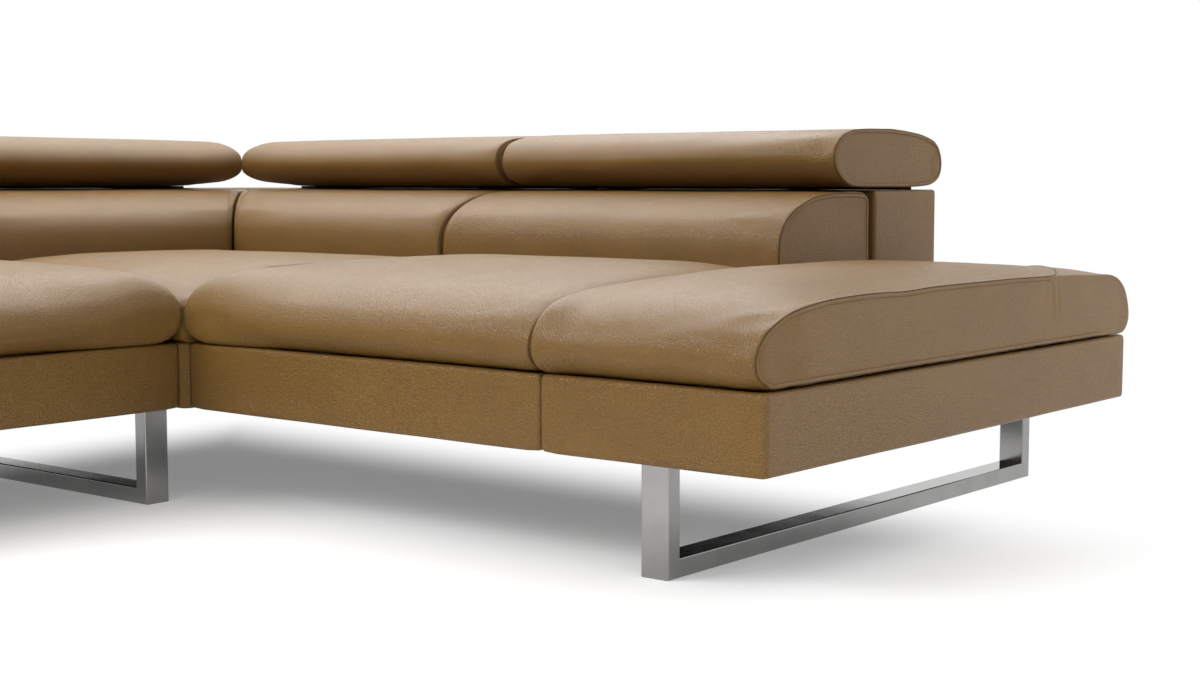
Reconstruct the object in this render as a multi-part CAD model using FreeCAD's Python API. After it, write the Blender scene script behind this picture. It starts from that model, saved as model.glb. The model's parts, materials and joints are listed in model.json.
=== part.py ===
import FreeCAD, Part
import math
import os

# Corner sofa in leather, built as five modules on chrome sled legs, with four
# headrests on ratchet hinges. Millimetres, +Z up. The origin is on the floor
# under the inner corner, where the two seat fronts meet. The right wing runs
# along +X with its seat front facing -Y. The left wing is its mirror image in
# the vertical plane x + y = 0, so it runs along -Y and faces +X.

V = FreeCAD.Vector
os.makedirs("parts", exist_ok=True)

# Plan of the modules
wing_length = 1260.0
sofa_depth = 1240.0
end_module_width = 410.0
corner_step = 12.0

# Heights, each over what is below it
leg_height = 170.0
plinth_height = 120.0
seat_cushion_height = 141.0
corner_seat_height = 135.0
corner_seat_edge_height = 121.0
back_frame_rise = 275.0

# Upholstered skins over the timber, leather with thin wadding behind it
skin = 4.0
plinth_edge_radius = 7.0
plinth_corner_radius = 16.0
back_edge_radius = 7.0
lip_width = 22.0

# Timber base frames
rail_thickness = 36.0
cross_rail_count = 4
leg_block_width = 110.0
leg_block_depth = 90.0
leg_block_height = 60.0
foot_block_width = 80.0
webbing_width = 60.0
webbing_thickness = 2.0
webbing_pitch = 170.0
dust_cover_thickness = 1.0

# Seat cushions
seat_edge_drop = 15.0
seat_overhang = 14.0
seat_swell = 3.0
seat_rear_radius = 16.0
seat_tail_overhang = 17.0
seat_hem_lift = 4.7
seat_hem_run = 60.0
seat_seam_run = 150.0
seat_side_bulge = 5.0
seat_side_bulge_run = 34.0
seat_joint_round = 60.0
seat_joint_setback = 6.0
seat_joint_setback_run = 25.0
seat_tip_gap = 2.0
seat_tip_round = 300.0
seat_tip_drop = 64.0
seat_tip_lift = 28.0
seat_tip_setback = 40.0
corner_seat_drop = 12.0
soft_gap = 0.3

# Flat facets that stand for each arc of a cushion's section
arc_facets = 4

# Front of a seat cushion, as distances back from its front and shares of its height
seat_nose = ((30, 0.0), (7, 0.11), (0, 0.27), (14, 0.56), (61, 0.8), (140, 0.94), (292, 1.0))
# Rear of the end seat cushion, as distances forward from its rear and shares of its height
seat_tail = ((338, 1.0), (187, 0.96), (64, 0.87), (20, 0.66), (0, 0.27), (7, 0.11), (30, 0.0))

# Back cushions
back_cushion_gap = 2.0
back_cushion_thickness = 315.0
back_cushion_drop = 2.0
back_groove = 24.0
back_shoulder_height = 84.0
back_shoulder_run = 222.0
back_end_round = 26.0
back_end_drop = 13.0
back_seam_run = 60.0
back_seam_drop = 2.0
back_rear_radius = 14.0

# Back frames
back_frame_depth = 243.0
board_thickness = 15.0

# Headrests
headrest_front_overhang = 158.0
headrest_rear_overhang = 25.0
headrest_gap = 5.0
headrest_height = 116.0
headrest_joint = 12.5
headrest_spacing = 5.0
headrest_corner_gap = 11.0
headrest_tip_round = 56.0
headrest_tip_inset = 44.0
headrest_seam_run = 70.0
headrest_seam_drop = 2.0

# Headrest section, as distances from its front or its rear and shares of its height
headrest_nose = ((66, 0.035), (23, 0.19), (0, 0.465), (21, 0.776), (71, 0.94), (200, 1.0))
headrest_tail = ((85, 0.914), (22, 0.75), (0, 0.448), (9, 0.19), (45, 0.06), (95, 0.012), (152, 0.0))

# Ratchet hinges
pivot_setback = 57.0
hinge_inset = 185.0
hinge_travel = 75.0
bracket_plate_thickness = 3.0
bracket_plate_width = 44.0
bracket_plate_length = 105.0
bracket_setback = 8.0
bracket_foot_length = 50.0
bracket_web_thickness = 5.0
bracket_eye_radius = 15.0
web_upper_angle = 62.0
web_lower_angle = 236.0
wheel_thickness = 6.0
wheel_root_radius = 19.0
wheel_tip_radius = 23.0
wheel_tooth_count = 6
wheel_tooth_pitch = 15.0
wheel_first_tooth = 18.0
arm_thickness = 4.0
arm_cheek_radius = 36.0
arm_bar_height = 16.0
arm_bar_length = 130.0
arm_flange_width = 30.0
arm_side_play = 0.3
pivot_bolt_radius = 5.0
pivot_bolt_head_radius = 9.0
pivot_bolt_head_height = 4.0
pivot_play = 0.05
pawl_eye_radius = 4.5
pawl_orbit = 31.0
pawl_angle = 62.0
pawl_reach = 38.0
pawl_lift = 1.0
pawl_tooth_height = 4.0
pawl_nib = 4.0
pocket_clearance = 2.0
pocket_play = 3.0
slot_play = 4.5

# Headrest board
headrest_board_thickness = 14.0
headrest_board_rise = 34.0
headrest_board_setback = 161.0
headrest_board_rear_inset = 40.0
headrest_board_inset = 62.0

# Chrome sled legs
tube_width = 50.0
tube_thickness = 30.0
tube_wall = 2.5
tube_edge_radius = 2.5
sled_front_setback = 20.0
sled_rear_setback = 25.0
end_sled_inset = 181.0
corner_sled_inset = 14.0
leg_plate_thickness = 4.0
leg_plate_length = 84.0

# Support feet out of sight under the rear
foot_top_width = 62.0
foot_floor_width = 44.0
foot_glide_height = 6.0

# Plates that join the modules under the base
joining_plate_width = 80.0
joining_plate_length = 60.0
joining_plate_thickness = 3.0
joining_plate_inset = 220.0

# Values worked out from the sizes above
end_start = wing_length - end_module_width
deck = leg_height + plinth_height
rail_bottom = leg_height + leg_plate_thickness
rail_top = deck - 2 * webbing_thickness
cushion_floor = deck + soft_gap
seat_crown = deck + seat_cushion_height
corner_seat_crown = deck + corner_seat_height
corner_seat_edge = deck + corner_seat_edge_height
back_top = deck + back_frame_rise
back_front = sofa_depth - back_frame_depth
back_cushion_top = back_top - back_cushion_drop
back_cushion_rear = back_front - back_groove
back_cushion_front = back_cushion_rear - back_cushion_thickness
seat_rear = back_cushion_front - back_cushion_gap
headrest_front = back_front - headrest_front_overhang
headrest_rear = sofa_depth + headrest_rear_overhang
headrest_underside = back_top + headrest_gap
pivot_y = headrest_front + pivot_setback
pivot_z = headrest_underside + headrest_height / 2
wheel_x = bracket_web_thickness / 2
cheek_x = wheel_x + wheel_thickness + arm_side_play
pin_end_x = cheek_x + arm_thickness + arm_side_play
board_bottom = headrest_underside + headrest_board_rise
board_front = headrest_front + headrest_board_setback
board_rear = headrest_rear - headrest_board_rear_inset


# Basic shapes
def box(x0, x1, y0, y1, z0, z1):
    return Part.makeBox(x1 - x0, y1 - y0, z1 - z0, V(x0, y0, z0))


def flat_face(corners):
    return Part.Face(Part.makePolygon(corners + corners[:1]))


def prism(points, z0, z1):
    """A plan outline raised from z0 to z1."""
    return flat_face([V(x, y, z0) for x, y in points]).extrude(V(0, 0, z1 - z0))


def plate(points, x0, x1):
    """A side outline in y and z, thickened from x0 to x1."""
    return flat_face([V(x0, y, z) for y, z in points]).extrude(V(x1 - x0, 0, 0))


def disc(x0, x1, y, z, radius):
    return Part.makeCylinder(radius, x1 - x0, V(x0, y, z), V(1, 0, 0))


def mirrored(shape):
    """The same piece on the left wing."""
    return shape.mirror(V(0, 0, 0), V(1, 1, 0))


def polar(radius, degrees):
    """A point of a side view, given from the headrest's pivot."""
    angle = math.radians(degrees)
    return (pivot_y + radius * math.cos(angle), pivot_z + radius * math.sin(angle))


def outline(x, start, *runs):
    """The edges of a closed outline in the plane at x. Each run is a line, or an arc through a point."""
    edges = []
    here = V(x, *start)
    for run in runs:
        there = V(x, *run[-1])
        if len(run) == 2:
            edges.append(Part.Arc(here, V(x, *run[0]), there).toShape())
        else:
            edges.append(Part.LineSegment(here, there).toShape())
        here = there
    return edges


def section(x, start, *runs):
    """The corners of an outline whose arcs are drawn in flat facets."""
    corners = []
    for edge in outline(x, start, *runs):
        facets = arc_facets if isinstance(edge.Curve, Part.Circle) else 1
        corners += edge.discretize(Number=facets + 1)[:-1]
    return corners


def stuffed(sections):
    """A closed form through sections with equal numbers of corners, ruled in flat triangles."""
    faces = [flat_face(sections[0]), flat_face(sections[-1])]
    for near, far in zip(sections, sections[1:]):
        for i in range(len(near)):
            faces.append(flat_face([near[i - 1], near[i], far[i]]))
            faces.append(flat_face([near[i - 1], far[i], far[i - 1]]))
    shell = Part.makeShell(faces)
    shell.sewShape()
    return Part.makeSolid(shell)


def soft_fall(distance, run, drop):
    """How far a stuffed end falls away, as a quarter ellipse over its run."""
    if distance >= run:
        return 0.0
    return drop * (1 - math.sqrt(1 - (1 - distance / run) ** 2))


def seam_fall(distance, run, drop):
    """How far a crowned face falls to a seam."""
    return drop * max(0.0, 1 - distance / run) ** 2


def save(name, *shapes):
    shape = shapes[0] if len(shapes) == 1 else Part.makeCompound(list(shapes))
    shape.exportStep(os.path.join("parts", name + ".step"))


# Base modules
def uprights(block, x, y, reach):
    """The upright edges of a block near a corner of its outline."""
    return [e for e in block.Edges if all(math.hypot(v.X - x, v.Y - y) < reach for v in e.Vertexes)]


def rounded_block(points, z0, z1, corner_radii, edge_radius, round_bottom=True):
    """A padded block on a plan outline, with its upright edges and its rims rounded."""
    block = prism(points, z0, z1)
    for (x, y), radius in zip(points, corner_radii):
        if radius:
            block = block.makeFillet(radius, uprights(block, x, y, 0.01))
    levels = (z0, z1) if round_bottom else (z1,)
    rims = [
        e for e in block.Edges
        if e.BoundBox.ZLength < 0.01 and min(abs(e.BoundBox.ZMin - z) for z in levels) < 0.01
    ]
    return block.makeFillet(edge_radius, rims)


def inset_outline(points, inset):
    """The outline moved inwards, for outlines that run anticlockwise."""
    moved = []
    for before, here, after in zip(points[-1:] + points[:-1], points, points[1:] + points[:1]):
        a = V(here[0] - before[0], here[1] - before[1], 0).normalize()
        b = V(after[0] - here[0], after[1] - here[1], 0).normalize()
        share = inset / (1 + a.dot(b))
        moved.append((here[0] - share * (a.y + b.y), here[1] + share * (a.x + b.x)))
    return moved


def inner_block(points, inset, z0, z1, corner_radii):
    """The space inside a skin, with the upright corners that follow the skin's."""
    block = prism(inset_outline(points, inset), z0, z1)
    for (x, y), radius in zip(points, corner_radii):
        if radius > inset:
            block = block.makeFillet(radius - inset, uprights(block, x, y, 2 * inset))
    return block


def window(points, inset):
    """The rectangle that is left open between the lips of a module's skin."""
    xs = [x for x, y in points]
    ys = [y for x, y in points]
    x0, x1, y0, y1 = min(xs) + inset, max(xs) - inset, min(ys) + inset, max(ys) - inset
    return [(x0, y0), (x1, y0), (x1, y1), (x0, y1)]


def plinth_skin(points, corner_radii):
    outer = rounded_block(points, leg_height, deck, corner_radii, plinth_edge_radius)
    hollow = inner_block(points, skin, rail_bottom, rail_top, corner_radii)
    return outer.cut(hollow).cut(prism(window(points, lip_width), leg_height - 1, deck + 1))


def frame_rails(x0, x1, y0, y1):
    """Front, rear, side and cross rails of a base frame, each a plank on edge."""
    rails = [
        box(x0, x1, y0, y0 + rail_thickness, rail_bottom, rail_top),
        box(x0, x1, y1 - rail_thickness, y1, rail_bottom, rail_top),
    ]
    inner_y0 = y0 + rail_thickness
    inner_y1 = y1 - rail_thickness
    rails.append(box(x0, x0 + rail_thickness, inner_y0, inner_y1, rail_bottom, rail_top))
    rails.append(box(x1 - rail_thickness, x1, inner_y0, inner_y1, rail_bottom, rail_top))
    bay = (inner_y1 - inner_y0 - cross_rail_count * rail_thickness) / (cross_rail_count + 1)
    for i in range(cross_rail_count):
        y = inner_y0 + bay + i * (bay + rail_thickness)
        rails.append(
            box(x0 + rail_thickness, x1 - rail_thickness, y, y + rail_thickness, rail_bottom, rail_top)
        )
    return rails


def webbing(points):
    """Two crossed layers of straps, let in flush between the lips of the skin."""
    (x0, y0), (x1, y1) = window(points, lip_width + soft_gap)[::2]
    middle = rail_top + webbing_thickness
    half = webbing_width / 2
    straps = []
    for along_x, low, high in ((True, y0, y1), (False, x0, x1)):
        count = int((high - low) // webbing_pitch)
        for i in range(count):
            centre = low + (i + 0.5) * (high - low) / count
            if along_x:
                straps.append(box(x0, x1, centre - half, centre + half, rail_top, middle))
            else:
                straps.append(box(centre - half, centre + half, y0, y1, middle, deck))
    return straps


def dust_cover(points):
    return prism(window(points, lip_width + soft_gap), rail_bottom - dust_cover_thickness, rail_bottom)


# Legs
def leg_plate(x, y_outer, inward):
    """The top plate of one post, which reaches from the post towards the sofa's middle."""
    y0, y1 = sorted((y_outer, y_outer + inward * leg_plate_length))
    half = tube_width / 2
    return box(x - half, x + half, y0, y1, leg_height, leg_height + leg_plate_thickness)


def sled(x, y0, y1):
    """A U of rectangular tube that lies on the floor, open at its two top ends."""
    half = tube_width / 2

    def frame(grow, z_low, x_low, x_high):
        t = tube_thickness - 2 * grow
        a = y0 + grow
        b = y1 - grow
        top = leg_height
        inner_low = z_low + t
        left_post = [(a + t, inner_low), (a + t, top), (a, top), (a, z_low)]
        right_post = [(b, z_low), (b, top), (b - t, top), (b - t, inner_low)]
        return plate(left_post + right_post, x_low, x_high)

    outer = frame(0.0, 0.0, x - half, x + half)
    long_edges = [
        e for e in outer.Edges
        if e.BoundBox.XLength < 0.01 and e.BoundBox.ZLength + e.BoundBox.YLength > tube_thickness + 1
    ]
    outer = outer.makeFillet(tube_edge_radius, long_edges)
    return outer.cut(frame(tube_wall, tube_wall, x - half + tube_wall, x + half - tube_wall))


def square(x, y, z, width):
    half = width / 2
    return [V(x + a * half, y + b * half, z) for a, b in ((-1, -1), (1, -1), (1, 1), (-1, 1))]


def foot(x, y):
    """A square tapered foot under the timber, hidden behind the sleds."""
    top = rail_bottom - dust_cover_thickness
    return stuffed([square(x, y, foot_glide_height, foot_floor_width), square(x, y, top, foot_top_width)])


def foot_glide(x, y):
    return flat_face(square(x, y, 0, foot_floor_width)).extrude(V(0, 0, foot_glide_height))


# Seat cushions
def seat_section(x, front, rear, bottom, top, tail):
    """Across a seat cushion: the rolled front, the crowned top and either a soft or a square rear."""
    rise = top - bottom
    nose = [(front + back, bottom + share * rise) for back, share in seat_nose]
    if tail:
        end = [(rear - forward, bottom + share * rise) for forward, share in seat_tail]
        crown = ((nose[6][0] + end[0][0]) / 2, top + seat_swell / 2)
        return section(
            x, nose[0], (nose[1], nose[2]), (nose[3], nose[4]), (nose[5], nose[6]),
            (crown, end[0]), (end[1], end[2]), (end[3], end[4]), (end[5], end[6]), (nose[0],),
        )
    corner = (rear, top - seat_rear_radius)
    bend = (rear - 0.3 * seat_rear_radius, top - 0.3 * seat_rear_radius)
    return section(
        x, nose[0], (nose[1], nose[2]), (nose[3], nose[4]), (nose[5], nose[6]),
        ((rear - seat_rear_radius, top),), (bend, corner), ((rear, bottom),), (nose[0],),
    )


def middle_seat():
    tip = corner_step + seat_tip_gap
    joint = end_start - soft_gap
    places = [tip + share * seat_tip_round for share in (0, 0.03, 0.12, 0.4, 1)]
    places += [joint - share * seat_joint_round for share in (1, 0.23, 0)]
    sections = []
    for x in places:
        a = x - tip
        b = joint - x
        top = seat_crown - soft_fall(a, seat_tip_round, seat_tip_drop)
        top -= soft_fall(b, seat_joint_round, seat_edge_drop)
        bottom = cushion_floor + soft_fall(a, seat_joint_round, seat_tip_lift)
        bottom += soft_fall(b, seat_joint_round / 2, seat_hem_lift)
        front = soft_fall(a, 2 * seat_joint_round, seat_tip_setback) - seat_overhang
        front += soft_fall(b, seat_joint_setback_run, seat_joint_setback)
        sections.append(seat_section(x, front, seat_rear, bottom, top, False))
    return stuffed(sections)


def end_seat():
    joint = end_start + soft_gap
    side = wing_length
    rear = sofa_depth + seat_tail_overhang
    places = [joint + share * seat_joint_round for share in (0, 0.23, 1)]
    places += [side - seat_seam_run, side - seat_hem_run, side]
    sections = []
    for x in places:
        a = x - joint
        b = side - x
        top = seat_crown - soft_fall(a, seat_joint_round, seat_edge_drop)
        top -= seam_fall(b, seat_seam_run, seat_edge_drop)
        bottom = cushion_floor + soft_fall(a, seat_joint_round / 2, seat_hem_lift)
        bottom += seam_fall(b, seat_hem_run, seat_hem_lift)
        front = soft_fall(a, seat_joint_setback_run, seat_joint_setback) - seat_overhang
        sections.append(seat_section(x, front, rear, bottom, top, True))
    run = seat_side_bulge_run
    low = cushion_floor + seat_hem_lift + run
    high = seat_crown - seat_edge_drop - run
    sections.append(seat_section(side + seat_side_bulge, run - seat_overhang, rear - run, low, high, True))
    return stuffed(sections)


def corner_seat():
    """The square seat in the corner, crowned both ways, with its tip cut to the corner module's front."""
    rear = seat_rear
    edge = corner_step - soft_gap
    shares = (0, 0.23, 1)
    places = [share * seat_joint_round - rear for share in shares] + [-rear / 2]
    places += [edge - share * seat_joint_round for share in reversed(shares)]
    r = seat_rear_radius
    sections = []
    for x in places:
        fall = soft_fall(x + rear, seat_joint_round, corner_seat_drop)
        fall += soft_fall(edge - x, seat_joint_round, corner_seat_drop)
        crown = corner_seat_crown - fall
        low = corner_seat_edge - fall
        sections.append(section(
            x, (-edge, cushion_floor),
            ((-edge, low - r),),
            ((0.3 * r - edge, low - 0.3 * r), (r - edge, low)),
            ((rear / 2, crown), (rear - r, low)),
            ((rear - 0.3 * r, low - 0.3 * r), (rear, low - r)),
            ((rear, cushion_floor),),
            ((-edge, cushion_floor),),
        ))
    tip = corner_step
    cut = prism([(-tip, -2 * tip), (2 * tip, -2 * tip), (2 * tip, tip)], deck, seat_crown)
    return stuffed(sections).cut(cut)


# Back cushions
def back_section(x, front, rear, bottom, top):
    h = back_shoulder_height
    run = back_shoulder_run
    r = back_rear_radius
    return section(
        x, (front, bottom),
        ((front, top - h),),
        ((front + 0.072 * run, top - 0.68 * h), (front + 0.27 * run, top - 0.31 * h)),
        ((front + 0.54 * run, top - 0.085 * h), (front + run, top)),
        ((rear - r, top),),
        ((rear - 0.3 * r, top - 0.3 * r), (rear, top - r)),
        ((rear, bottom),),
        ((front, bottom),),
    )


def back_cushion(x0, x1, falls):
    """A back cushion from x0 to x1. At each place, falls says how far its top and front draw in."""
    steps = (0, 0.23 * back_end_round, back_end_round, back_seam_run)
    places = [x0 + d for d in steps] + [x1 - d for d in reversed(steps)]
    sections = []
    for x in places:
        fall = falls(x)
        front = back_cushion_front + fall
        top = back_cushion_top - fall
        sections.append(back_section(x, front, back_cushion_rear, cushion_floor, top))
    return stuffed(sections)


def middle_back_cushion():
    x0 = headrest_joint + soft_gap
    x1 = end_start

    def falls(x):
        at_round_end = soft_fall(x - x0, back_end_round, back_end_drop)
        return at_round_end + seam_fall(x1 - x, back_seam_run, back_seam_drop)

    return back_cushion(x0, x1, falls)


def corner_back_cushion():
    """The corner's right-hand back cushion, mitred against its mirror image."""
    x1 = headrest_joint - soft_gap
    x0 = -back_cushion_rear - back_seam_run
    whole = back_cushion(x0, x1, lambda x: soft_fall(x1 - x, back_end_round, back_end_drop))
    far = 2 * sofa_depth
    gap = 2 * soft_gap
    mitre = [(-far, -far), (far + gap, -far), (-far + gap, far), (-far, far)]
    beyond = prism(mitre, deck, 2 * back_cushion_top)
    return whole.cut(beyond)


# Back frames
def back_boards(x0, x1, y0, y1):
    """A box of boards that stands on the base, with a rib in its middle."""
    t = board_thickness
    top = back_top - skin
    along_x = x1 - x0 > y1 - y0
    boards = [box(x0, x1, y0, y1, top - t, top)]
    if along_x:
        boards += [box(x0, x1, y, y + t, deck, top - t) for y in (y0, y1 - t)]
        ribs = (x0, (x0 + x1 - t) / 2, x1 - t)
        boards += [box(x, x + t, y0 + t, y1 - t, deck, top - t) for x in ribs]
    else:
        boards += [box(x, x + t, y0, y1, deck, top - t) for x in (x0, x1 - t)]
        ribs = (y0, (y0 + y1 - t) / 2, y1 - t)
        boards += [box(x0 + t, x1 - t, y, y + t, deck, top - t) for y in ribs]
    return boards


def back_skin(points):
    square_corners = [0] * len(points)
    outer = rounded_block(points, deck, back_top, square_corners, back_edge_radius, round_bottom=False)
    return outer.cut(prism(inset_outline(points, skin), deck - 1, back_top - skin))


# Headrests
def headrest_section(x, inset):
    """Across a headrest, drawn in all round by the inset."""
    front = headrest_front + inset
    rear = headrest_rear - inset
    bottom = headrest_underside + inset
    rise = headrest_height - 2 * inset
    size = rise / headrest_height
    nose = [(front + back * size, bottom + share * rise) for back, share in headrest_nose]
    tail = [(rear - forward * size, bottom + share * rise) for forward, share in headrest_tail]
    under = (front + 2 * headrest_nose[0][0] * size, bottom)
    return section(
        x, nose[0], (nose[1], nose[2]), (nose[3], nose[4]), (nose[5], tail[0]),
        (tail[1], tail[2]), (tail[3], tail[4]), (tail[5], tail[6]), (under,), (nose[0],),
    )


def headrest_form(x0, x1, seamed):
    """The stuffed form from x0 to x1. Its first end is round, and its last is round or flat with a welt."""
    rounds = [share * headrest_tip_round for share in (0, 0.11, 0.4, 1)]
    places = [x0 + d for d in rounds]
    if seamed:
        places += [x1 - d for d in (headrest_seam_run, 0)]
    else:
        places += [x1 - d for d in reversed(rounds)]
    sections = []
    for x in places:
        inset = soft_fall(x - x0, headrest_tip_round, headrest_tip_inset)
        if seamed:
            inset += seam_fall(x1 - x, headrest_seam_run, headrest_seam_drop)
        else:
            inset += soft_fall(x1 - x, headrest_tip_round, headrest_tip_inset)
        sections.append(headrest_section(x, inset))
    return stuffed(sections)


def hinge_bracket(x):
    """The fixed half of a hinge: a foot plate on the back frame and a web that reaches up to the pivot."""
    half = bracket_plate_width / 2
    foot_y = back_front + bracket_setback
    top = back_top + bracket_plate_thickness
    foot_plate = box(x - half, x + half, foot_y, foot_y + bracket_plate_length, back_top, top)
    halfway = (web_upper_angle + web_lower_angle) / 2
    eye = [polar(bracket_eye_radius, angle) for angle in (web_upper_angle, halfway, web_lower_angle)]
    edges = outline(
        x - bracket_web_thickness / 2, eye[0], (eye[1], eye[2]),
        ((foot_y, top),), ((foot_y + bracket_foot_length, top),), (eye[0],),
    )
    web = Part.Face(Part.Wire(edges)).extrude(V(bracket_web_thickness, 0, 0))
    return foot_plate.fuse(web).removeSplitter()


def ratchet_wheel(x):
    """The fixed quadrant on the web, toothed over the headrest's travel."""
    points = []
    for i in range(wheel_tooth_count):
        angle = wheel_first_tooth + i * wheel_tooth_pitch
        points.append(polar(wheel_root_radius, angle))
        points.append(polar(wheel_tip_radius, angle + 0.25 * wheel_tooth_pitch))
    last = wheel_first_tooth + wheel_tooth_count * wheel_tooth_pitch
    points.append(polar(wheel_root_radius, last))
    back = (last + wheel_first_tooth + 360) / 2
    points += [polar(bracket_eye_radius, back + turn) for turn in (-60, 0, 60)]
    return plate(points, x + wheel_x, x + wheel_x + wheel_thickness)


def hexagon(x0, x1, y, z, radius):
    turns = [math.radians(60 * i) for i in range(6)]
    return plate([(y + radius * math.cos(a), z + radius * math.sin(a)) for a in turns], x0, x1)


def pivot_bolt(x):
    """The shoulder bolt, screwed into the wheel, that the cheek turns on."""
    x0 = x + wheel_x + wheel_thickness
    x1 = x + pin_end_x
    shoulder = disc(x0, x1, pivot_y, pivot_z, pivot_bolt_radius)
    head = hexagon(x1, x1 + pivot_bolt_head_height, pivot_y, pivot_z, pivot_bolt_head_radius)
    return shoulder.fuse(head)


def hinge_arm(x):
    """The moving half: a cheek beside the wheel, a bar, and a flange under the headrest's board."""
    x0 = x + cheek_x
    x1 = x0 + arm_thickness
    bar_low = board_bottom - arm_bar_height
    rear = board_front + arm_bar_length
    cheek = [
        polar(arm_cheek_radius * share, angle)
        for share, angle in ((1, 35), (1, 75), (0.8, 115), (0.55, 165), (0.55, 215), (0.7, 265))
    ]
    bar = [(board_front, bar_low), (rear, bar_low), (rear, board_bottom), (board_front, board_bottom)]
    cheek_and_bar = plate(cheek + bar, x0, x1)
    flange = box(x0, x0 + arm_flange_width, board_front, rear, board_bottom - arm_thickness, board_bottom)
    hole = disc(x0 - 1, x1 + 1, pivot_y, pivot_z, pivot_bolt_radius + pivot_play)
    return cheek_and_bar.fuse(flange).cut(hole).removeSplitter()


def pawl(x):
    """The catch on the cheek, drawn lifted just clear of the teeth."""
    x0 = x + wheel_x + arm_side_play
    x1 = x + cheek_x
    clear = wheel_tip_radius + pawl_lift
    tip = pawl_angle - pawl_reach
    outer = pawl_orbit + pawl_eye_radius
    inner = pawl_orbit - pawl_eye_radius
    round_end = pawl_angle + math.degrees(pawl_eye_radius / pawl_orbit)
    edges = outline(
        x0, polar(outer, pawl_angle), (polar(pawl_orbit, round_end), polar(inner, pawl_angle)),
        (polar(clear, tip + pawl_nib),), (polar(clear, tip),), (polar(clear + pawl_tooth_height, tip),),
        (polar(outer, pawl_angle),),
    )
    return Part.Face(Part.Wire(edges)).extrude(V(x1 - x0, 0, 0))


def hinge_space(x):
    """Room in a headrest for the hinge: a pocket round the pivot and the slot that the web sweeps."""
    pocket_corner = (arm_cheek_radius + pocket_clearance) / math.cos(math.radians(22.5))
    pocket = plate(
        [polar(pocket_corner, 22.5 + 45 * i) for i in range(8)],
        x - wheel_x - pocket_play, x + pin_end_x + pivot_bolt_head_height + pocket_play,
    )
    half = bracket_web_thickness / 2 + slot_play
    foot_y = back_front + bracket_setback
    top = back_top + bracket_plate_thickness
    low = top - headrest_height
    rear = foot_y + bracket_foot_length + slot_play
    reach = math.hypot(foot_y - pivot_y, pivot_z - top)
    lower = math.degrees(math.atan2(top - pivot_z, foot_y - pivot_y)) - hinge_travel
    round_eye = bracket_eye_radius + slot_play
    swept = [
        polar(2 * reach, lower - math.degrees(slot_play / reach)),
        polar(round_eye, web_lower_angle - hinge_travel),
    ]
    slot = plate([polar(round_eye, web_upper_angle), (rear, top), (rear, low)] + swept, x - half, x + half)
    return pocket.fuse(slot)


def headrest(x0, x1, seamed):
    """All the moving pieces of one headrest, and the places of its two hinges."""
    hinges = (x0 + hinge_inset, x1 - hinge_inset)
    board = box(
        x0 + headrest_board_inset, x1 - headrest_board_inset,
        board_front, board_rear,
        board_bottom, board_bottom + headrest_board_thickness,
    )
    cushion = headrest_form(x0, x1, seamed).cut(board)
    for x in hinges:
        cushion = cushion.cut(hinge_space(x)).cut(hinge_arm(x))
    return {
        "headrest_cushion": [cushion],
        "headrest_board": [board],
        "hinge_arms": [hinge_arm(x) for x in hinges],
        "pawls": [pawl(x) for x in hinges],
        "hinges": hinges,
    }


def joining_plate(x, y):
    """A steel plate screwed under the lips of two neighbours."""
    half = joining_plate_width / 2
    return box(
        x - half, x + half, y, y + joining_plate_length,
        leg_height - joining_plate_thickness, leg_height,
    )


# Plan outlines of the modules, anticlockwise, and the radius of each upright corner
middle_plan = [(corner_step, 0), (end_start, 0), (end_start, sofa_depth), (corner_step, sofa_depth)]
middle_radii = [0] * 4
end_plan = [(end_start, 0), (wing_length, 0), (wing_length, sofa_depth), (end_start, sofa_depth)]
end_radii = [0, plinth_corner_radius, plinth_corner_radius, 0]
corner_plan = [
    (-sofa_depth, -corner_step), (0, -corner_step), (corner_step, 0),
    (corner_step, sofa_depth), (-sofa_depth, sofa_depth),
]
corner_radii = [0] * 4 + [plinth_corner_radius]
middle_back_plan = [
    (corner_step, back_front), (end_start, back_front), (end_start, sofa_depth), (corner_step, sofa_depth),
]
corner_back_plan = [
    (-sofa_depth, -corner_step), (-back_front, -corner_step), (-back_front, back_front),
    (corner_step, back_front), (corner_step, sofa_depth), (-sofa_depth, sofa_depth),
]


# Places of the legs in right-wing terms: x of the tube, y of the post's outer face, way inwards
end_sled_x = wing_length - end_sled_inset - tube_width / 2
corner_sled_x = corner_step + corner_sled_inset + tube_width / 2
sled_rear = sofa_depth - sled_rear_setback
end_posts = [(end_sled_x, sled_front_setback, 1), (end_sled_x, sled_rear, -1)]
corner_posts = [(corner_sled_x, sled_front_setback, 1), (corner_sled_x, sled_rear, -1)]
frame_inset = skin + rail_thickness
foot_inset = frame_inset + foot_block_width / 2
rear_foot_y = sofa_depth - foot_inset
middle_feet = [(corner_step + foot_inset, rear_foot_y)]
corner_feet = [
    (-rear_foot_y, rear_foot_y), (corner_step - foot_inset, rear_foot_y),
    (-rear_foot_y, foot_inset - corner_step),
]


def leg_block(x0, x1, y0, y1):
    """A block of timber in a base frame that a leg is screwed to."""
    return box(x0, x1, y0, y1, rail_bottom, rail_bottom + leg_block_height)


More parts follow.
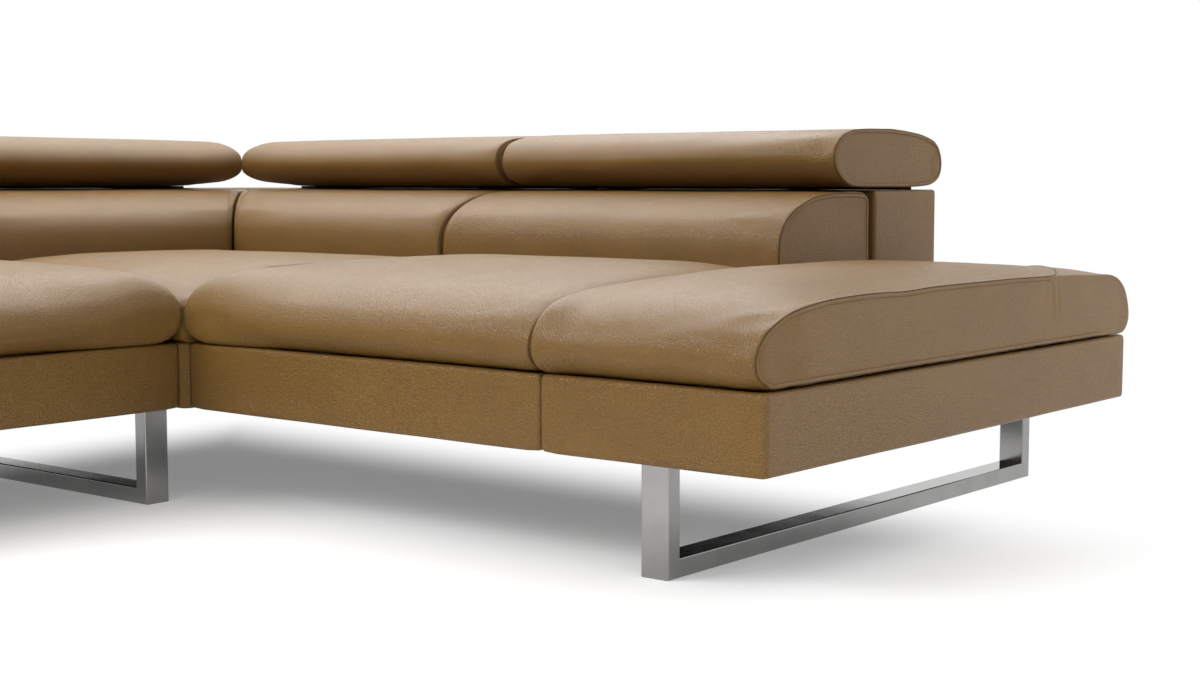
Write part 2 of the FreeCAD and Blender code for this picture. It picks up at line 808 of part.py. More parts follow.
def base_module(plan, radii, posts, block_x, feet):
    """One base: timber frame, padded skin, webbing, dust cover and the plates of its leg posts."""
    hollow = inner_block(plan, skin, rail_bottom, rail_top, radii)
    xs = [x for x, y in inset_outline(plan, skin)]
    ys = [y for x, y in inset_outline(plan, skin)]
    timber = frame_rails(min(xs), max(xs), min(ys), max(ys))
    for x, y_outer, inward in posts:
        y_rail = frame_inset if inward > 0 else sofa_depth - frame_inset
        y0, y1 = sorted((y_rail, y_rail + inward * leg_block_depth))
        timber.append(leg_block(block_x, block_x + leg_block_width, y0, y1))
    half = foot_block_width / 2
    for x, y in feet:
        timber.append(leg_block(x - half, x + half, y - half, y + half))
    plates = [leg_plate(*post) for post in posts]
    cover = plinth_skin(plan, radii)
    dust = dust_cover(plan)
    for piece in plates:
        cover = cover.cut(piece)
        dust = dust.cut(piece)
    timber = [piece.common(hollow) for piece in timber]
    return {"frame": timber, "cover": cover, "webbing": webbing(plan), "dust": dust, "plates": plates}


# Bases
end_block_x = end_sled_x - leg_block_width / 2
corner_block_x = corner_step + frame_inset
end_base = base_module(end_plan, end_radii, end_posts, end_block_x, [])
right_middle_base = base_module(middle_plan, middle_radii, [], corner_block_x, middle_feet)
left_middle_base = base_module(middle_plan, middle_radii, corner_posts, corner_block_x, [])
corner_base = base_module(corner_plan, corner_radii, [], corner_block_x, corner_feet)
bases = {
    "end_right": (end_base, False),
    "middle_right": (right_middle_base, False),
    "corner": (corner_base, False),
    "middle_left": (left_middle_base, True),
    "end_left": (end_base, True),
}
grouped = {"webbing": [], "dust": [], "plates": []}
for name, (base, left) in bases.items():
    turn = mirrored if left else lambda shape: shape
    save("base_frame_" + name, *[turn(piece) for piece in base["frame"]])
    save("plinth_cover_" + name, turn(base["cover"]))
    grouped["webbing"] += [turn(strap) for strap in base["webbing"]]
    grouped["dust"].append(turn(base["dust"]))
    grouped["plates"] += [turn(piece) for piece in base["plates"]]
save("seat_webbing", *grouped["webbing"])
save("dust_covers", *grouped["dust"])
save("leg_plates", *grouped["plates"])

# Legs
end_sled = sled(end_sled_x, sled_front_setback, sled_rear)
save("sled_leg_end_right", end_sled)
save("sled_leg_end_left", mirrored(end_sled))
save("sled_leg_corner", mirrored(sled(corner_sled_x, sled_front_setback, sled_rear)))
save("support_feet", *[foot(x, y) for x, y in middle_feet + corner_feet])
save("foot_glides", *[foot_glide(x, y) for x, y in middle_feet + corner_feet])
joints = [
    joining_plate(x, y)
    for x in (corner_step, end_start)
    for y in (joining_plate_inset, sofa_depth - joining_plate_inset - joining_plate_length)
]
save("joining_plates", *joints, *[mirrored(piece) for piece in joints])

# Seats
seats = {"end": end_seat(), "middle": middle_seat()}
for name, cushion in seats.items():
    save("seat_cushion_" + name + "_right", cushion)
    save("seat_cushion_" + name + "_left", mirrored(cushion))
save("seat_cushion_corner", corner_seat())

# Backs
back_inner = back_front + skin
back_outer = sofa_depth - skin
middle_boards = back_boards(corner_step + skin, end_start - skin, back_inner, back_outer)
save("back_frame_right", *middle_boards)
save("back_frame_left", *[mirrored(board) for board in middle_boards])
save(
    "back_frame_corner",
    *back_boards(-back_outer, corner_step - skin, back_inner, back_outer),
    *back_boards(-back_outer, -back_inner, skin - corner_step, back_inner),
)
middle_back_skin = back_skin(middle_back_plan)
save("back_cover_right", middle_back_skin)
save("back_cover_left", mirrored(middle_back_skin))
save("back_cover_corner", back_skin(corner_back_plan))
back_cushions = {"": middle_back_cushion(), "corner_": corner_back_cushion()}
for name, cushion in back_cushions.items():
    save("back_cushion_" + name + "right", cushion)
    save("back_cushion_" + name + "left", mirrored(cushion))

# Headrests and their hinges
headrest_spans = {
    "": (headrest_joint + headrest_spacing / 2, end_start, True),
    "corner_": (headrest_corner_gap - headrest_front, headrest_joint - headrest_spacing / 2, False),
}
fixed = {"hinge_brackets": [], "ratchet_wheels": [], "pivot_bolts": []}
for name, span in headrest_spans.items():
    pieces = headrest(*span)
    for x in pieces.pop("hinges"):
        fixed["hinge_brackets"].append(hinge_bracket(x))
        fixed["ratchet_wheels"].append(ratchet_wheel(x))
        fixed["pivot_bolts"].append(pivot_bolt(x))
    for node, solids in pieces.items():
        save(node + "_" + name + "right", *solids)
        save(node + "_" + name + "left", *[mirrored(solid) for solid in solids])
for node, solids in fixed.items():
    save(node, *solids, *[mirrored(solid) for solid in solids])
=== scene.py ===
import json
import math

import bpy
import numpy as np
from mathutils import Matrix, Vector, noise
from mathutils.bvhtree import BVHTree
from mathutils.kdtree import KDTree

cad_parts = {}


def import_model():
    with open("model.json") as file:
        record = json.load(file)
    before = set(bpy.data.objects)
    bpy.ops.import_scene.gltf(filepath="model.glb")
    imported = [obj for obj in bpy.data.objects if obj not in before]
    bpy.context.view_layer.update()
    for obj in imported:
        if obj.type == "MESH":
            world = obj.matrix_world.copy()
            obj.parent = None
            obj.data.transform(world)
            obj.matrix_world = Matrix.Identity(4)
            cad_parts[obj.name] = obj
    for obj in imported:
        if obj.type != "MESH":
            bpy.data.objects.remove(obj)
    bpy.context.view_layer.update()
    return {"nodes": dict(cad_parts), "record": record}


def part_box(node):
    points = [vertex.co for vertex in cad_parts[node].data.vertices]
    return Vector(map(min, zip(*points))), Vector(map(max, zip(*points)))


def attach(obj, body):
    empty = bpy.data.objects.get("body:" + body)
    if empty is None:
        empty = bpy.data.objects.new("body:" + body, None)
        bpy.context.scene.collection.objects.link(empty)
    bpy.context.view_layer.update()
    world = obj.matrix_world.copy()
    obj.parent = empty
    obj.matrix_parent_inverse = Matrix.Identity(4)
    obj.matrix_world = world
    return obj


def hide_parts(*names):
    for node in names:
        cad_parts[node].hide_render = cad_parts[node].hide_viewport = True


# Looks of a leather corner sofa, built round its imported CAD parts. Lengths here are
# millimetres until a mesh is made, and Blender's objects are in metres. Each soft piece
# is made for the right wing, and its twin on the left wing is a mirror image.

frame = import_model()
MM = 0.001

# Heights over the floor that several pieces share
plinth_low, plinth_top, back_top = 170, 290, 565
base_top = 290.3
crown_height = 431.0


def node_box(name):
    """The corners of a CAD node in millimetres."""
    low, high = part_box(name)
    return np.array(low) / MM, np.array(high) / MM


# Outlines
def share_of(value):
    """The value held between 0 and 1."""
    return np.clip(value, 0, 1)


def quarter(distance, run, drop):
    """How far a stuffed end falls away over its run, as a quarter ellipse."""
    t = share_of(1 - distance / run)
    return drop * (1 - np.sqrt(1 - t * t))


def settle(distance, run, drop):
    """How far a crowned face settles towards a seam."""
    return drop * share_of(1 - distance / run) ** 2


def smooth_loop(points, per_span):
    """A closed smooth curve through the points, with per_span steps from each to the next."""
    p = np.array(points, float)
    chord = np.linalg.norm(np.roll(p, -1, 0) - p, axis=1) ** 0.5
    before = np.roll(chord, 1)
    ahead = (np.roll(p, -1, 0) - p) / chord[:, None]
    behind = (p - np.roll(p, 1, 0)) / before[:, None]
    tangent = (ahead * before[:, None] + behind * chord[:, None]) / (chord + before)[:, None]
    fine = []
    for i in range(len(p)):
        j = (i + 1) % len(p)
        for k in range(per_span):
            t = k / per_span
            h = (2 * t**3 - 3 * t**2 + 1, t**3 - 2 * t**2 + t, -2 * t**3 + 3 * t**2, t**3 - t**2)
            fine.append(
                h[0] * p[i] + h[1] * chord[i] * tangent[i]
                + h[2] * p[j] + h[3] * chord[i] * tangent[j]
            )
    return np.array(fine)


def even(line, count):
    """The polyline divided evenly into count steps, both ends included."""
    steps = np.linalg.norm(np.diff(line, axis=0), axis=1)
    along = np.concatenate([[0], np.cumsum(steps)])
    marks = np.linspace(0, along[-1], count + 1)
    return np.stack([np.interp(marks, along, line[:, k]) for k in range(line.shape[1])], 1)


def ring(points, sides, counts):
    """Points round a smooth loop, spaced evenly on each of its four sides."""
    per_span = 12
    fine = smooth_loop(points, per_span)
    out = []
    for k, count in enumerate(counts):
        a = sides[k] * per_span
        b = sides[(k + 1) % 4] * per_span
        line = fine[a:b + 1] if b > a else np.concatenate([fine[a:], fine[:b + 1]])
        out.append(even(line, count)[:-1])
    return np.concatenate(out)


def patch(loop, up, along):
    """A grid that closes a ring: its four sides blended across, as [along][up]."""
    front = loop[:up + 1]
    top = loop[up:up + along + 1]
    rear = loop[up + along:2 * up + along + 1][::-1]
    bottom = np.concatenate([loop[2 * up + along:], loop[:1]])[::-1]
    s = np.linspace(0, 1, along + 1)[:, None, None]
    t = np.linspace(0, 1, up + 1)[None, :, None]
    sides = (1 - s) * front[None] + s * rear[None] + (1 - t) * bottom[:, None] + t * top[:, None]
    corners = (
        (1 - s) * (1 - t) * loop[0] + s * (1 - t) * loop[2 * up + along]
        + (1 - s) * t * loop[up] + s * t * loop[up + along]
    )
    return sides - corners


def stations(a, b, step, at_a, at_b):
    """Places from a to b about step apart, and closer ones at the given distances from each end."""
    low, high = a + at_a[-1], b - at_b[-1]
    middle = np.linspace(low, high, max(3, int(round((high - low) / step)) + 1))
    near_a = [a + d for d in at_a[:-1]]
    near_b = [b - d for d in reversed(at_b[:-1])]
    return np.array(near_a + list(middle) + near_b)


def rounded(corners, radii, inset, step):
    """A polygon drawn in by inset, with rounded corners, as points about step apart."""
    least_radius, arc_steps = 0.6, 5
    p = np.array(corners, float)
    n = len(p)
    ahead = [(p[(i + 1) % n] - p[i]) / np.linalg.norm(p[(i + 1) % n] - p[i]) for i in range(n)]
    arcs = []
    for i in range(n):
        u, v = ahead[i - 1], ahead[i]
        left = np.array([-u[1], u[0]])
        turn = u[0] * v[1] - u[1] * v[0]
        corner = p[i] + inset * (left + np.array([-v[1], v[0]])) / (1 + u @ v)
        radius = max(radii[i] - inset * np.sign(turn), least_radius)
        angle = math.acos(np.clip(u @ v, -1, 1))
        start = corner - u * radius * math.tan(angle / 2)
        centre = start + left * radius * np.sign(turn)
        arm = start - centre
        arc = []
        for k in range(arc_steps + 1):
            a = np.sign(turn) * angle * k / arc_steps
            c, s = math.cos(a), math.sin(a)
            arc.append(centre + np.array([arm[0] * c - arm[1] * s, arm[0] * s + arm[1] * c]))
        arcs.append(arc)
    out = []
    for i in range(n):
        out += arcs[i]
        length = np.linalg.norm(p[(i + 1) % n] - p[i])
        count = max(1, int(round(length / step)))
        a, b = arcs[i][-1], arcs[(i + 1) % n][0]
        out += [a + (b - a) * k / count for k in range(1, count)]
    return np.array(out)


# Meshes
def bands(rows, n):
    """The faces between closed rows of n points each."""
    starts = range(0, (rows - 1) * n, n)
    sides = [(k, (k + 1) % n) for k in range(n)]
    return [(i + a, i + b, i + b + n, i + a + n) for i in starts for a, b in sides]


class Form:
    """A closed soft form: a ring for the outline at each X, and a patch over each end."""

    def __init__(self, xs, outline, up, along, bulges=(0.0, 0.0)):
        rings = [ring(*outline(x), (up, along, up, along)) for x in xs]
        self.up, self.along = up, along
        self.around = 2 * (up + along)
        self.stations = len(xs)
        points = [np.column_stack([np.full(len(r), x), r]) for x, r in zip(xs, rings)]
        self.points = list(np.concatenate(points))
        self.faces = bands(self.stations, self.around)
        self.close(0, rings[0], xs[0], bulges[0])
        self.close(self.stations - 1, rings[-1], xs[-1], bulges[1])

    def close(self, station, loop, x, bulge):
        up, along, n = self.up, self.along, self.around
        grid = patch(loop, up, along)
        first = station * n
        index = np.zeros((along + 1, up + 1), int)
        index[0, :] = first + np.arange(up + 1)
        index[:, up] = first + up + np.arange(along + 1)
        index[along, ::-1] = first + up + along + np.arange(up + 1)
        index[1:, 0][::-1][1:] = first + 2 * up + along + 1 + np.arange(along - 1)
        for i in range(1, along):
            for j in range(1, up):
                u, v = 2 * i / along - 1, 2 * j / up - 1
                index[i, j] = len(self.points)
                swell = bulge * (1 - u**6) * (1 - v * v)
                self.points.append(np.array([x + swell, *grid[i, j]]))
        for i in range(along):
            for j in range(up):
                quad = (index[i, j], index[i, j + 1], index[i + 1, j + 1], index[i + 1, j])
                self.faces.append(quad if station else quad[::-1])

    def loop(self, station):
        """The indices of the points round a station, which -1 names from the last one back."""
        return station % self.stations * self.around + np.arange(self.around)

    def where(self, test):
        """The indices of the points that pass a test."""
        return [i for i, p in enumerate(self.points) if test(p)]


def linked(name, data):
    """A new object in the scene."""
    made = bpy.data.objects.new(name, data)
    bpy.context.scene.collection.objects.link(made)
    return made


def mesh_object(name, points, faces):
    mesh = bpy.data.meshes.new(name)
    faces = [tuple(int(i) for i in f) for f in faces]
    mesh.from_pydata([Vector(p) * MM for p in points], [], faces)
    mesh.update()
    mesh.polygons.foreach_set("use_smooth", [True] * len(mesh.polygons))
    return linked(name, mesh)


def vertex_array(mesh, key="co"):
    values = np.zeros(len(mesh.vertices) * 3)
    mesh.vertices.foreach_get(key, values)
    return values.reshape(-1, 3)


def place_points(piece, co):
    piece.data.vertices.foreach_set("co", np.ascontiguousarray(co).ravel())
    piece.data.update()


def stuff(piece, held, reach):
    """Blows the leather up against its held seams. No point moves further than reach."""
    frames = 14
    settings = {
        "quality": 5, "mass": 0.5, "tension_stiffness": 40, "compression_stiffness": 40,
        "shear_stiffness": 20, "bending_stiffness": 8, "use_pressure": True,
        "uniform_pressure_force": 4.0, "vertex_group_mass": "held", "shrink_min": -0.003,
    }
    rest = vertex_array(piece.data)
    group = piece.vertex_groups.new(name="held")
    group.add([int(i) for i in held], 1.0, "REPLACE")
    cloth = piece.modifiers.new("stuffing", "CLOTH")
    for key, value in settings.items():
        setattr(cloth.settings, key, value)
    cloth.settings.effector_weights.gravity = 0
    cloth.collision_settings.use_collision = False
    cloth.point_cache.frame_start = 1
    cloth.point_cache.frame_end = frames
    scene = bpy.context.scene
    for f in range(1, frames + 1):
        scene.frame_set(f)
    evaluated = piece.evaluated_get(bpy.context.evaluated_depsgraph_get())
    move = vertex_array(evaluated.data) - rest
    size = np.linalg.norm(move, axis=1)
    limit = reach * MM
    move *= (limit * np.tanh(size / limit) / np.maximum(size, 1e-9))[:, None]
    piece.modifiers.remove(cloth)
    place_points(piece, rest + move)
    scene.frame_set(1)


def keep_inside(piece, low, high):
    """Presses a soft piece flat where it would pass the given corners, in millimetres."""
    co = vertex_array(piece.data)
    place_points(piece, np.clip(co, np.array(low) * MM, np.array(high) * MM))


def unevenness(piece, amount, size, seed, base=0):
    """Gentle hollows and rises of the stuffing under the leather, fading out towards its base."""
    fade = 30
    co = vertex_array(piece.data)
    offset = Vector((seed, 2 * seed, 3 * seed))
    lift = np.array([noise.noise(Vector(p) / (size * MM) + offset) for p in co])
    lift *= share_of((co[:, 2] / MM - base) / fade)
    place_points(piece, co + vertex_array(piece.data, "normal") * lift[:, None] * amount * MM)


def apply(piece, modifier):
    evaluated = piece.evaluated_get(bpy.context.evaluated_depsgraph_get())
    mesh = bpy.data.meshes.new_from_object(evaluated)
    piece.modifiers.remove(modifier)
    piece.data = mesh
    mesh.name = piece.name


def refine(piece):
    """Subdivides the finished form and applies it, so that seams can follow its surface."""
    subdivision = piece.modifiers.new("refine", "SUBSURF")
    subdivision.levels = 1
    apply(piece, subdivision)


def surface(piece):
    mesh = piece.data
    return BVHTree.FromPolygons([v.co for v in mesh.vertices], [p.vertices for p in mesh.polygons])


def press(piece, path, depth, width):
    """Draws the leather in along a seam."""
    tree = KDTree(len(path))
    for i, p in enumerate(path):
        tree.insert(Vector(p), i)
    tree.balance()
    co = vertex_array(piece.data)
    distance = np.array([tree.find(Vector(p))[2] for p in co]) / MM
    sink = depth * np.exp(-((distance / width) ** 2))
    place_points(piece, co - vertex_array(piece.data, "normal") * sink[:, None] * MM)


def fold(piece, a, b, depth, width):
    """A small crease in the leather from a to b, with a ridge beside it."""
    thickness = 20
    a, b = np.array(a) * MM, np.array(b) * MM
    co = vertex_array(piece.data)
    normal = vertex_array(piece.data, "normal")
    along = (b - a) / np.linalg.norm(b - a)
    t = (co - a) @ along / np.linalg.norm(b - a)
    away = co - a - np.outer((co - a) @ along, along)
    side = np.cross(along, normal)
    s = (away * side).sum(1) / MM
    near = (np.abs((away * normal).sum(1)) < thickness * MM) & (t > 0) & (t < 1)
    fade = np.where(near, np.sin(np.pi * share_of(t)) ** 0.7, 0)
    shape = np.exp(-(((s - width) / width) ** 2)) - np.exp(-(((s + width) / width) ** 2))
    place_points(piece, co + normal * (depth * fade * shape)[:, None] * MM)


def cut(piece, outline, x0, x1):
    """Cuts a side outline, from x0 to x1, out of a finished piece."""
    n = len(outline)
    points = [(x, *p) for x in (x0, x1) for p in outline]
    faces = [range(n), range(n, 2 * n)[::-1]]
    faces += [(i, i + n, (i + 1) % n + n, (i + 1) % n) for i in range(n)]
    tool = mesh_object("cutter", points, faces)
    tool.data.polygons.foreach_set("use_smooth", [False] * len(faces))
    boolean = piece.modifiers.new("cut", "BOOLEAN")
    boolean.operation = "DIFFERENCE"
    boolean.solver = "EXACT"
    boolean.object = tool
    apply(piece, boolean)
    piece.data.set_sharp_from_angle(angle=0.7)
    bpy.data.objects.remove(tool)


# Seams
def resample(path, step=6.0):
    """A polyline divided evenly, step millimetres apart or a little less."""
    line = np.array([list(p) for p in path])
    length = np.linalg.norm(np.diff(line, axis=0), axis=1).sum()
    return even(line, max(8, int(math.ceil(length / (step * MM)))))


def laid(tree, line, closed=False):
    """A track on a surface: its points, and the surface's normals there, evened out along it."""
    reach = 2
    path, raw, *_ = zip(*(tree.find_nearest(Vector(p)) for p in line))
    n = len(raw)
    normals = []
    for i in range(n):
        total = Vector()
        for k in range(-reach, reach + 1):
            j = (i + k) % n if closed else min(max(i + k, 0), n - 1)
            total += raw[j]
        normals.append(total.normalized())
    return path, normals


def swept(name, track, half_width, half_height, sunk, closed=False, sides=8):
    """A flattened round strip along a track, in millimetres across."""
    path, normals = track
    n = len(path)
    points = []
    for i in range(n):
        before = path[i - 1] if closed or i else path[i]
        after = path[(i + 1) % n] if closed or i < n - 1 else path[i]
        tangent = (after - before).normalized()
        up = (normals[i] - tangent * normals[i].dot(tangent)).normalized()
        side = tangent.cross(up)
        taper = 1.0 if closed else min(1.0, (min(i, n - 1 - i) + 0.4) / 3)
        centre = path[i] / MM - up * sunk
        for k in range(sides):
            a = 2 * math.pi * k / sides
            across = half_width * taper * math.cos(a)
            points.append(centre + side * across + up * (half_height * taper * math.sin(a)))
    total = len(points)
    faces = [[i % total for i in (p, s, r, q)] for p, q, r, s in bands(n + closed, sides)]
    if not closed:
        faces += [range(sides), range(total - sides, total)[::-1]]
    return mesh_object(name, points, faces)


def stitches(name, track):
    """A row of thread stitches along a track."""
    path, normals = track
    pitch, length, radius, sides = 5.5, 3.6, 0.42, 5
    profile = ((0, 0.35, 0.6), (0.2, 0.9, 0.0), (0.8, 0.9, 0.0), (1, 0.35, 0.6))
    line = [Vector(p) for p in resample(path, pitch)]
    known = np.array([list(p) for p in path])
    points, faces = [], []
    for a, b in zip(line, line[1:]):
        tangent = (b - a).normalized()
        nearest = int(np.argmin(((known - np.array(a)) ** 2).sum(1)))
        up = (normals[nearest] - tangent * normals[nearest].dot(tangent)).normalized()
        side = tangent.cross(up)
        first = len(points)
        for share, size, sink in profile:
            centre = a / MM + tangent * (share * length) - up * (sink * radius)
            for k in range(sides):
                angle = 2 * math.pi * k / sides
                arm = side * math.cos(angle) + up * math.sin(angle)
                points.append(centre + arm * (size * radius))
        faces += [[first + i for i in face] for face in bands(len(profile), sides)]
    return mesh_object(name, points, faces)


# Shader helpers
def connect(tree, target, inputs):
    """Sets a node's inputs, each to a value or to another node's output."""
    for socket, value in inputs.items():
        if isinstance(value, bpy.types.NodeSocket):
            tree.links.new(value, target.inputs[socket])
        else:
            target.inputs[socket].default_value = value


def node(tree, kind, inputs=None, **settings):
    """The outputs of a new node."""
    made = tree.nodes.new(kind)
    for key, value in settings.items():
        setattr(made, key, value)
    connect(tree, made, inputs or {})
    return made.outputs


def material(name):
    """A new material with its tree and the object's own coordinates."""
    made = bpy.data.materials.new(name)
    made.use_nodes = True
    return made, made.node_tree, node(made.node_tree, "ShaderNodeTexCoord")["Object"]


def ramp(tree, value, *stops):
    """The value as a colour, blended between two stops, each a position and its colour."""
    color = node(tree, "ShaderNodeValToRGB", {"Fac": value})["Color"]
    for element, (position, shade) in zip(color.node.color_ramp.elements, stops):
        element.position = position
        element.color = (*shade, 1)
    return color


def multiply(tree, a, b):
    """Two colours multiplied, which the mix node takes as inputs 6 and 7."""
    inputs = {0: 1.0, 6: a, 7: b}
    return node(tree, "ShaderNodeMix", inputs, data_type="RGBA", blend_type="MULTIPLY")[2]


def calc(tree, operation, a, b=0.0):
    return node(tree, "ShaderNodeMath", {0: a, 1: b}, operation=operation)[0]


def spread(tree, value, low, high, to_low=0.0, to_high=1.0, kind="SMOOTHSTEP"):
    """The value carried from one range to another, and held at the ends."""
    ends = {
        "Value": value, "From Min": low, "From Max": high, "To Min": to_low, "To Max": to_high,
    }
    return node(tree, "ShaderNodeMapRange", ends, interpolation_type=kind)["Result"]


def texture(tree, place, kind, scale, **settings):
    inputs = {"Vector": place, "Scale": scale}
    for key in ("Detail", "Roughness", "Smoothness", "Distortion"):
        if key.lower() in settings:
            inputs[key] = settings.pop(key.lower())
    return node(tree, kind, inputs, **settings)


def dress(tree, color, roughness, relief, metallic=0.0, specular=0.5):
    """Sets a material's shader. The relief is a bump's height, strength and distance."""
    bump = node(tree, "ShaderNodeBump", dict(zip(("Height", "Strength", "Distance"), relief)))
    connect(tree, tree.nodes["Principled BSDF"], {
        "Base Color": color, "Roughness": roughness, "Normal": bump["Normal"],
        "Metallic": metallic, "Specular IOR Level": specular,
    })


NOISE, CELLS, WAVES = "ShaderNodeTexNoise", "ShaderNodeTexVoronoi", "ShaderNodeTexWave"
VECTORS = "ShaderNodeVectorMath"


def make_leather():
    """Tan pebble-grain hide: cells with creases between them, pores, and a slow change of tone."""
    made, tree, place = material("tan_leather")
    warp = texture(tree, place, NOISE, 160.0, detail=2.0)["Color"]
    bend = node(tree, VECTORS, {0: warp, 1: (0.0022,) * 3}, operation="MULTIPLY")[0]
    bent = node(tree, VECTORS, {0: place, 1: bend}, operation="ADD")[0]
    cells = texture(tree, bent, CELLS, 350.0, feature="DISTANCE_TO_EDGE")["Distance"]
    pebble = spread(tree, cells, 0.0, 0.22)
    coarse = texture(tree, bent, CELLS, 140.0, feature="SMOOTH_F1", smoothness=0.6)["Distance"]
    pores = texture(tree, place, NOISE, 1500.0, detail=3.0)["Fac"]
    patches = texture(tree, place, NOISE, 7.0, detail=4.0, roughness=0.55)["Fac"]
    mottle = texture(tree, place, NOISE, 60.0, detail=5.0, roughness=0.6)["Fac"]
    swell = texture(tree, place, NOISE, 11.0, detail=2.0)["Fac"]

    tone = ramp(tree, patches, (0.3, (0.272, 0.138, 0.019)), (0.7, (0.314, 0.163, 0.024)))
    fine_tone = ramp(tree, mottle, (0.3, (0.96,) * 3), (0.7, (1.03,) * 3))
    crease = ramp(tree, pebble, (0.0, (0.74, 0.72, 0.68)), (1.0, (1.0,) * 3))
    color = multiply(tree, multiply(tree, tone, fine_tone), crease)
    roughness = spread(tree, mottle, 0.3, 0.7, 0.33, 0.41, "LINEAR")
    height = calc(tree, "MULTIPLY", pebble, 0.001)
    for relief, depth in ((coarse, -0.0001), (pores, 0.0001), (swell, 0.0015)):
        height = calc(tree, "ADD", height, calc(tree, "MULTIPLY", relief, depth))
    dress(tree, color, roughness, (height, 1.0, 1.0), specular=0.55)
    return made


def make_plain(name, dark, light, roughness, scale, bump_size, metallic=0.0):
    """A finish with a mottled tone and a fine bump."""
    made, tree, place = material(name)
    grain = texture(tree, place, NOISE, scale, detail=4.0)["Fac"]
    color = ramp(tree, grain, (0.3, dark), (0.7, light))
    dress(tree, color, roughness, (grain, 0.5, bump_size), metallic)
    return made


def make_chrome():
    """Polished tube with a faint haze and polishing marks."""
    made, tree, place = material("polished_chrome")
    haze = texture(tree, place, NOISE, 18.0, detail=4.0)["Fac"]
    marks = texture(tree, place, NOISE, 700.0, detail=2.0)["Fac"]
    color = ramp(tree, haze, (0.3, (0.27, 0.266, 0.262)), (0.7, (0.31, 0.306, 0.302)))
    roughness = spread(tree, haze, 0.3, 0.7, 0.10, 0.17, "LINEAR")
    dress(tree, color, roughness, (marks, 0.05, 0.0002), metallic=1.0)
    return made


def make_timber():
    """Raw board with bands of grain."""
    made, tree, place = material("raw_timber")
    stretched = node(tree, "ShaderNodeMapping", {"Vector": place, "Scale": (1.0, 1.0, 14.0)})[0]
    grain = texture(tree, stretched, WAVES, 4.0, distortion=6.0, detail=3.0)["Fac"]
    color = ramp(tree, grain, (0.2, (0.42, 0.27, 0.13)), (0.8, (0.60, 0.42, 0.23)))
    dress(tree, color, 0.65, (grain, 0.3, 0.0005))
    return made


def make_woven(name, dark, light, scale):
    """A plain weave of two sets of threads."""
    made, tree, place = material(name)
    warp, weft = (
        texture(tree, place, WAVES, scale, bands_direction=axis)["Fac"] for axis in ("X", "Y")
    )
    weave = calc(tree, "MULTIPLY", warp, weft)
    color = ramp(tree, weave, (0.1, dark), (0.7, light))
    dress(tree, color, 0.9, (weave, 0.6, 0.0006), specular=0.1)
    return made


leather = make_leather()
# seam_edge_shade and inner_seam_shade are painted shade: dark lines standing in for the shade in
# seam grooves
thread, seam_shade, soft_seam_shade, joint_shade = (
    make_plain(name, dark, light, roughness, scale, 0.0002)
    for name, dark, light, roughness, scale in (
        ("seam_thread", (0.16, 0.09, 0.035), (0.26, 0.15, 0.06), 0.7, 2500),
        ("seam_edge_shade", (0.070, 0.034, 0.011), (0.105, 0.052, 0.017), 0.75, 900),
        ("inner_seam_shade", (0.150, 0.078, 0.022), (0.205, 0.110, 0.032), 0.7, 900),
        # painted shade for the hollows where neighbouring pieces meet
        ("joint_shade", (0.090, 0.044, 0.012), (0.125, 0.062, 0.018), 0.9, 900),
    )
)
# A near-black felt for the strips under the headrests: painted shade of the gap there
gap_shade_felt = make_woven("brown_gap_shade", (0.018, 0.009, 0.003), (0.036, 0.019, 0.007), 700)


# Finishing a piece
def finish_piece(piece, body, *nodes, slot="leather", look=leather):
    """Gives a piece its look, and tells the frame its body and what it replaces. The slot is not
    used.
    """
    piece.data.materials.clear()
    piece.data.materials.append(look)
    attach(piece, body)
    if nodes:
        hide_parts(*nodes)


def mirrored(piece, name):
    """The same piece on the left wing."""
    mesh = piece.data.copy()
    mesh.name = name
    mesh.transform(Matrix(((0, -1, 0, 0), (-1, 0, 0, 0), (0, 0, 1, 0), (0, 0, 0, 1))))
    mesh.flip_normals()
    return linked(name, mesh)


def pair(piece, body, name, *stems, slot="leather", look=leather, fill=None):
    """Finishes a right-wing piece and its twin. Stems are CAD nodes' names without their side."""
    for side, made in (("right", piece), ("left", mirrored(piece, name + "_left"))):
        where = body if body == "sofa" else body + "_" + side
        finish_piece(made, where, *[stem + "_" + side for stem in stems], slot=slot, look=look)
    piece.name = name + "_right"


def seam(stem, body, track, closed=False, look=seam_shade, half_width=0.9):
    """A narrow dark line on the surface, painted shade of a seam's groove or of a joint."""
    line = swept(stem, track, half_width, 0.5, 0.15, closed, 6)
    pair(line, body, stem, look=look)


def ring_line(piece, loop):
    """The points of a ring, smoothed and spaced evenly."""
    fine = smooth_loop(vertex_array(piece.data)[loop], 4)
    return resample(np.concatenate([fine, fine[:1]]))[:-1]


outwards = Vector((1, 0, 0))


def joint_shade_band(stem, body, piece, loop, half_width):
    """The dark band round the end of a piece, deep in the joint with its neighbour: painted shade
    of that hollow.
    """
    track = laid(surface(piece), ring_line(piece, loop), True)
    seam(stem, body, track, True, joint_shade, half_width)


def bordered(line, distance):
    """The line moved sideways over a flat end, away from the end's outline."""
    moved = []
    for i in range(len(line)):
        before, after = line[max(i - 1, 0)], line[min(i + 1, len(line) - 1)]
        along = Vector(after - before).normalized()
        moved.append(Vector(line[i]) + along.cross(outwards) * (distance * MM))
    return moved


def border(stem, body, piece, line, closed):
    """The double seam round a flat end: a raised band between two lines, the inner one stitched.
    The two dark lines are painted shade of the seam's grooves.
    """
    middle, inner = 3.8, 7.0
    tree = surface(piece)
    path, normals = laid(tree, line, closed)
    normals = [(n + outwards * 0.4).normalized() for n in normals]
    seam(stem + "_edge", body, (path, normals), closed)
    track = laid(tree, bordered(line, middle), closed)
    pair(swept(stem, track, 2.9, 0.9, 0.2, closed), body, stem)
    track = laid(tree, bordered(line, inner), closed)
    seam(stem + "_inner", body, track, closed, soft_seam_shade)
    row = stitches(stem + "_stitches", track)
    pair(row, body, stem + "_stitches", look=thread)


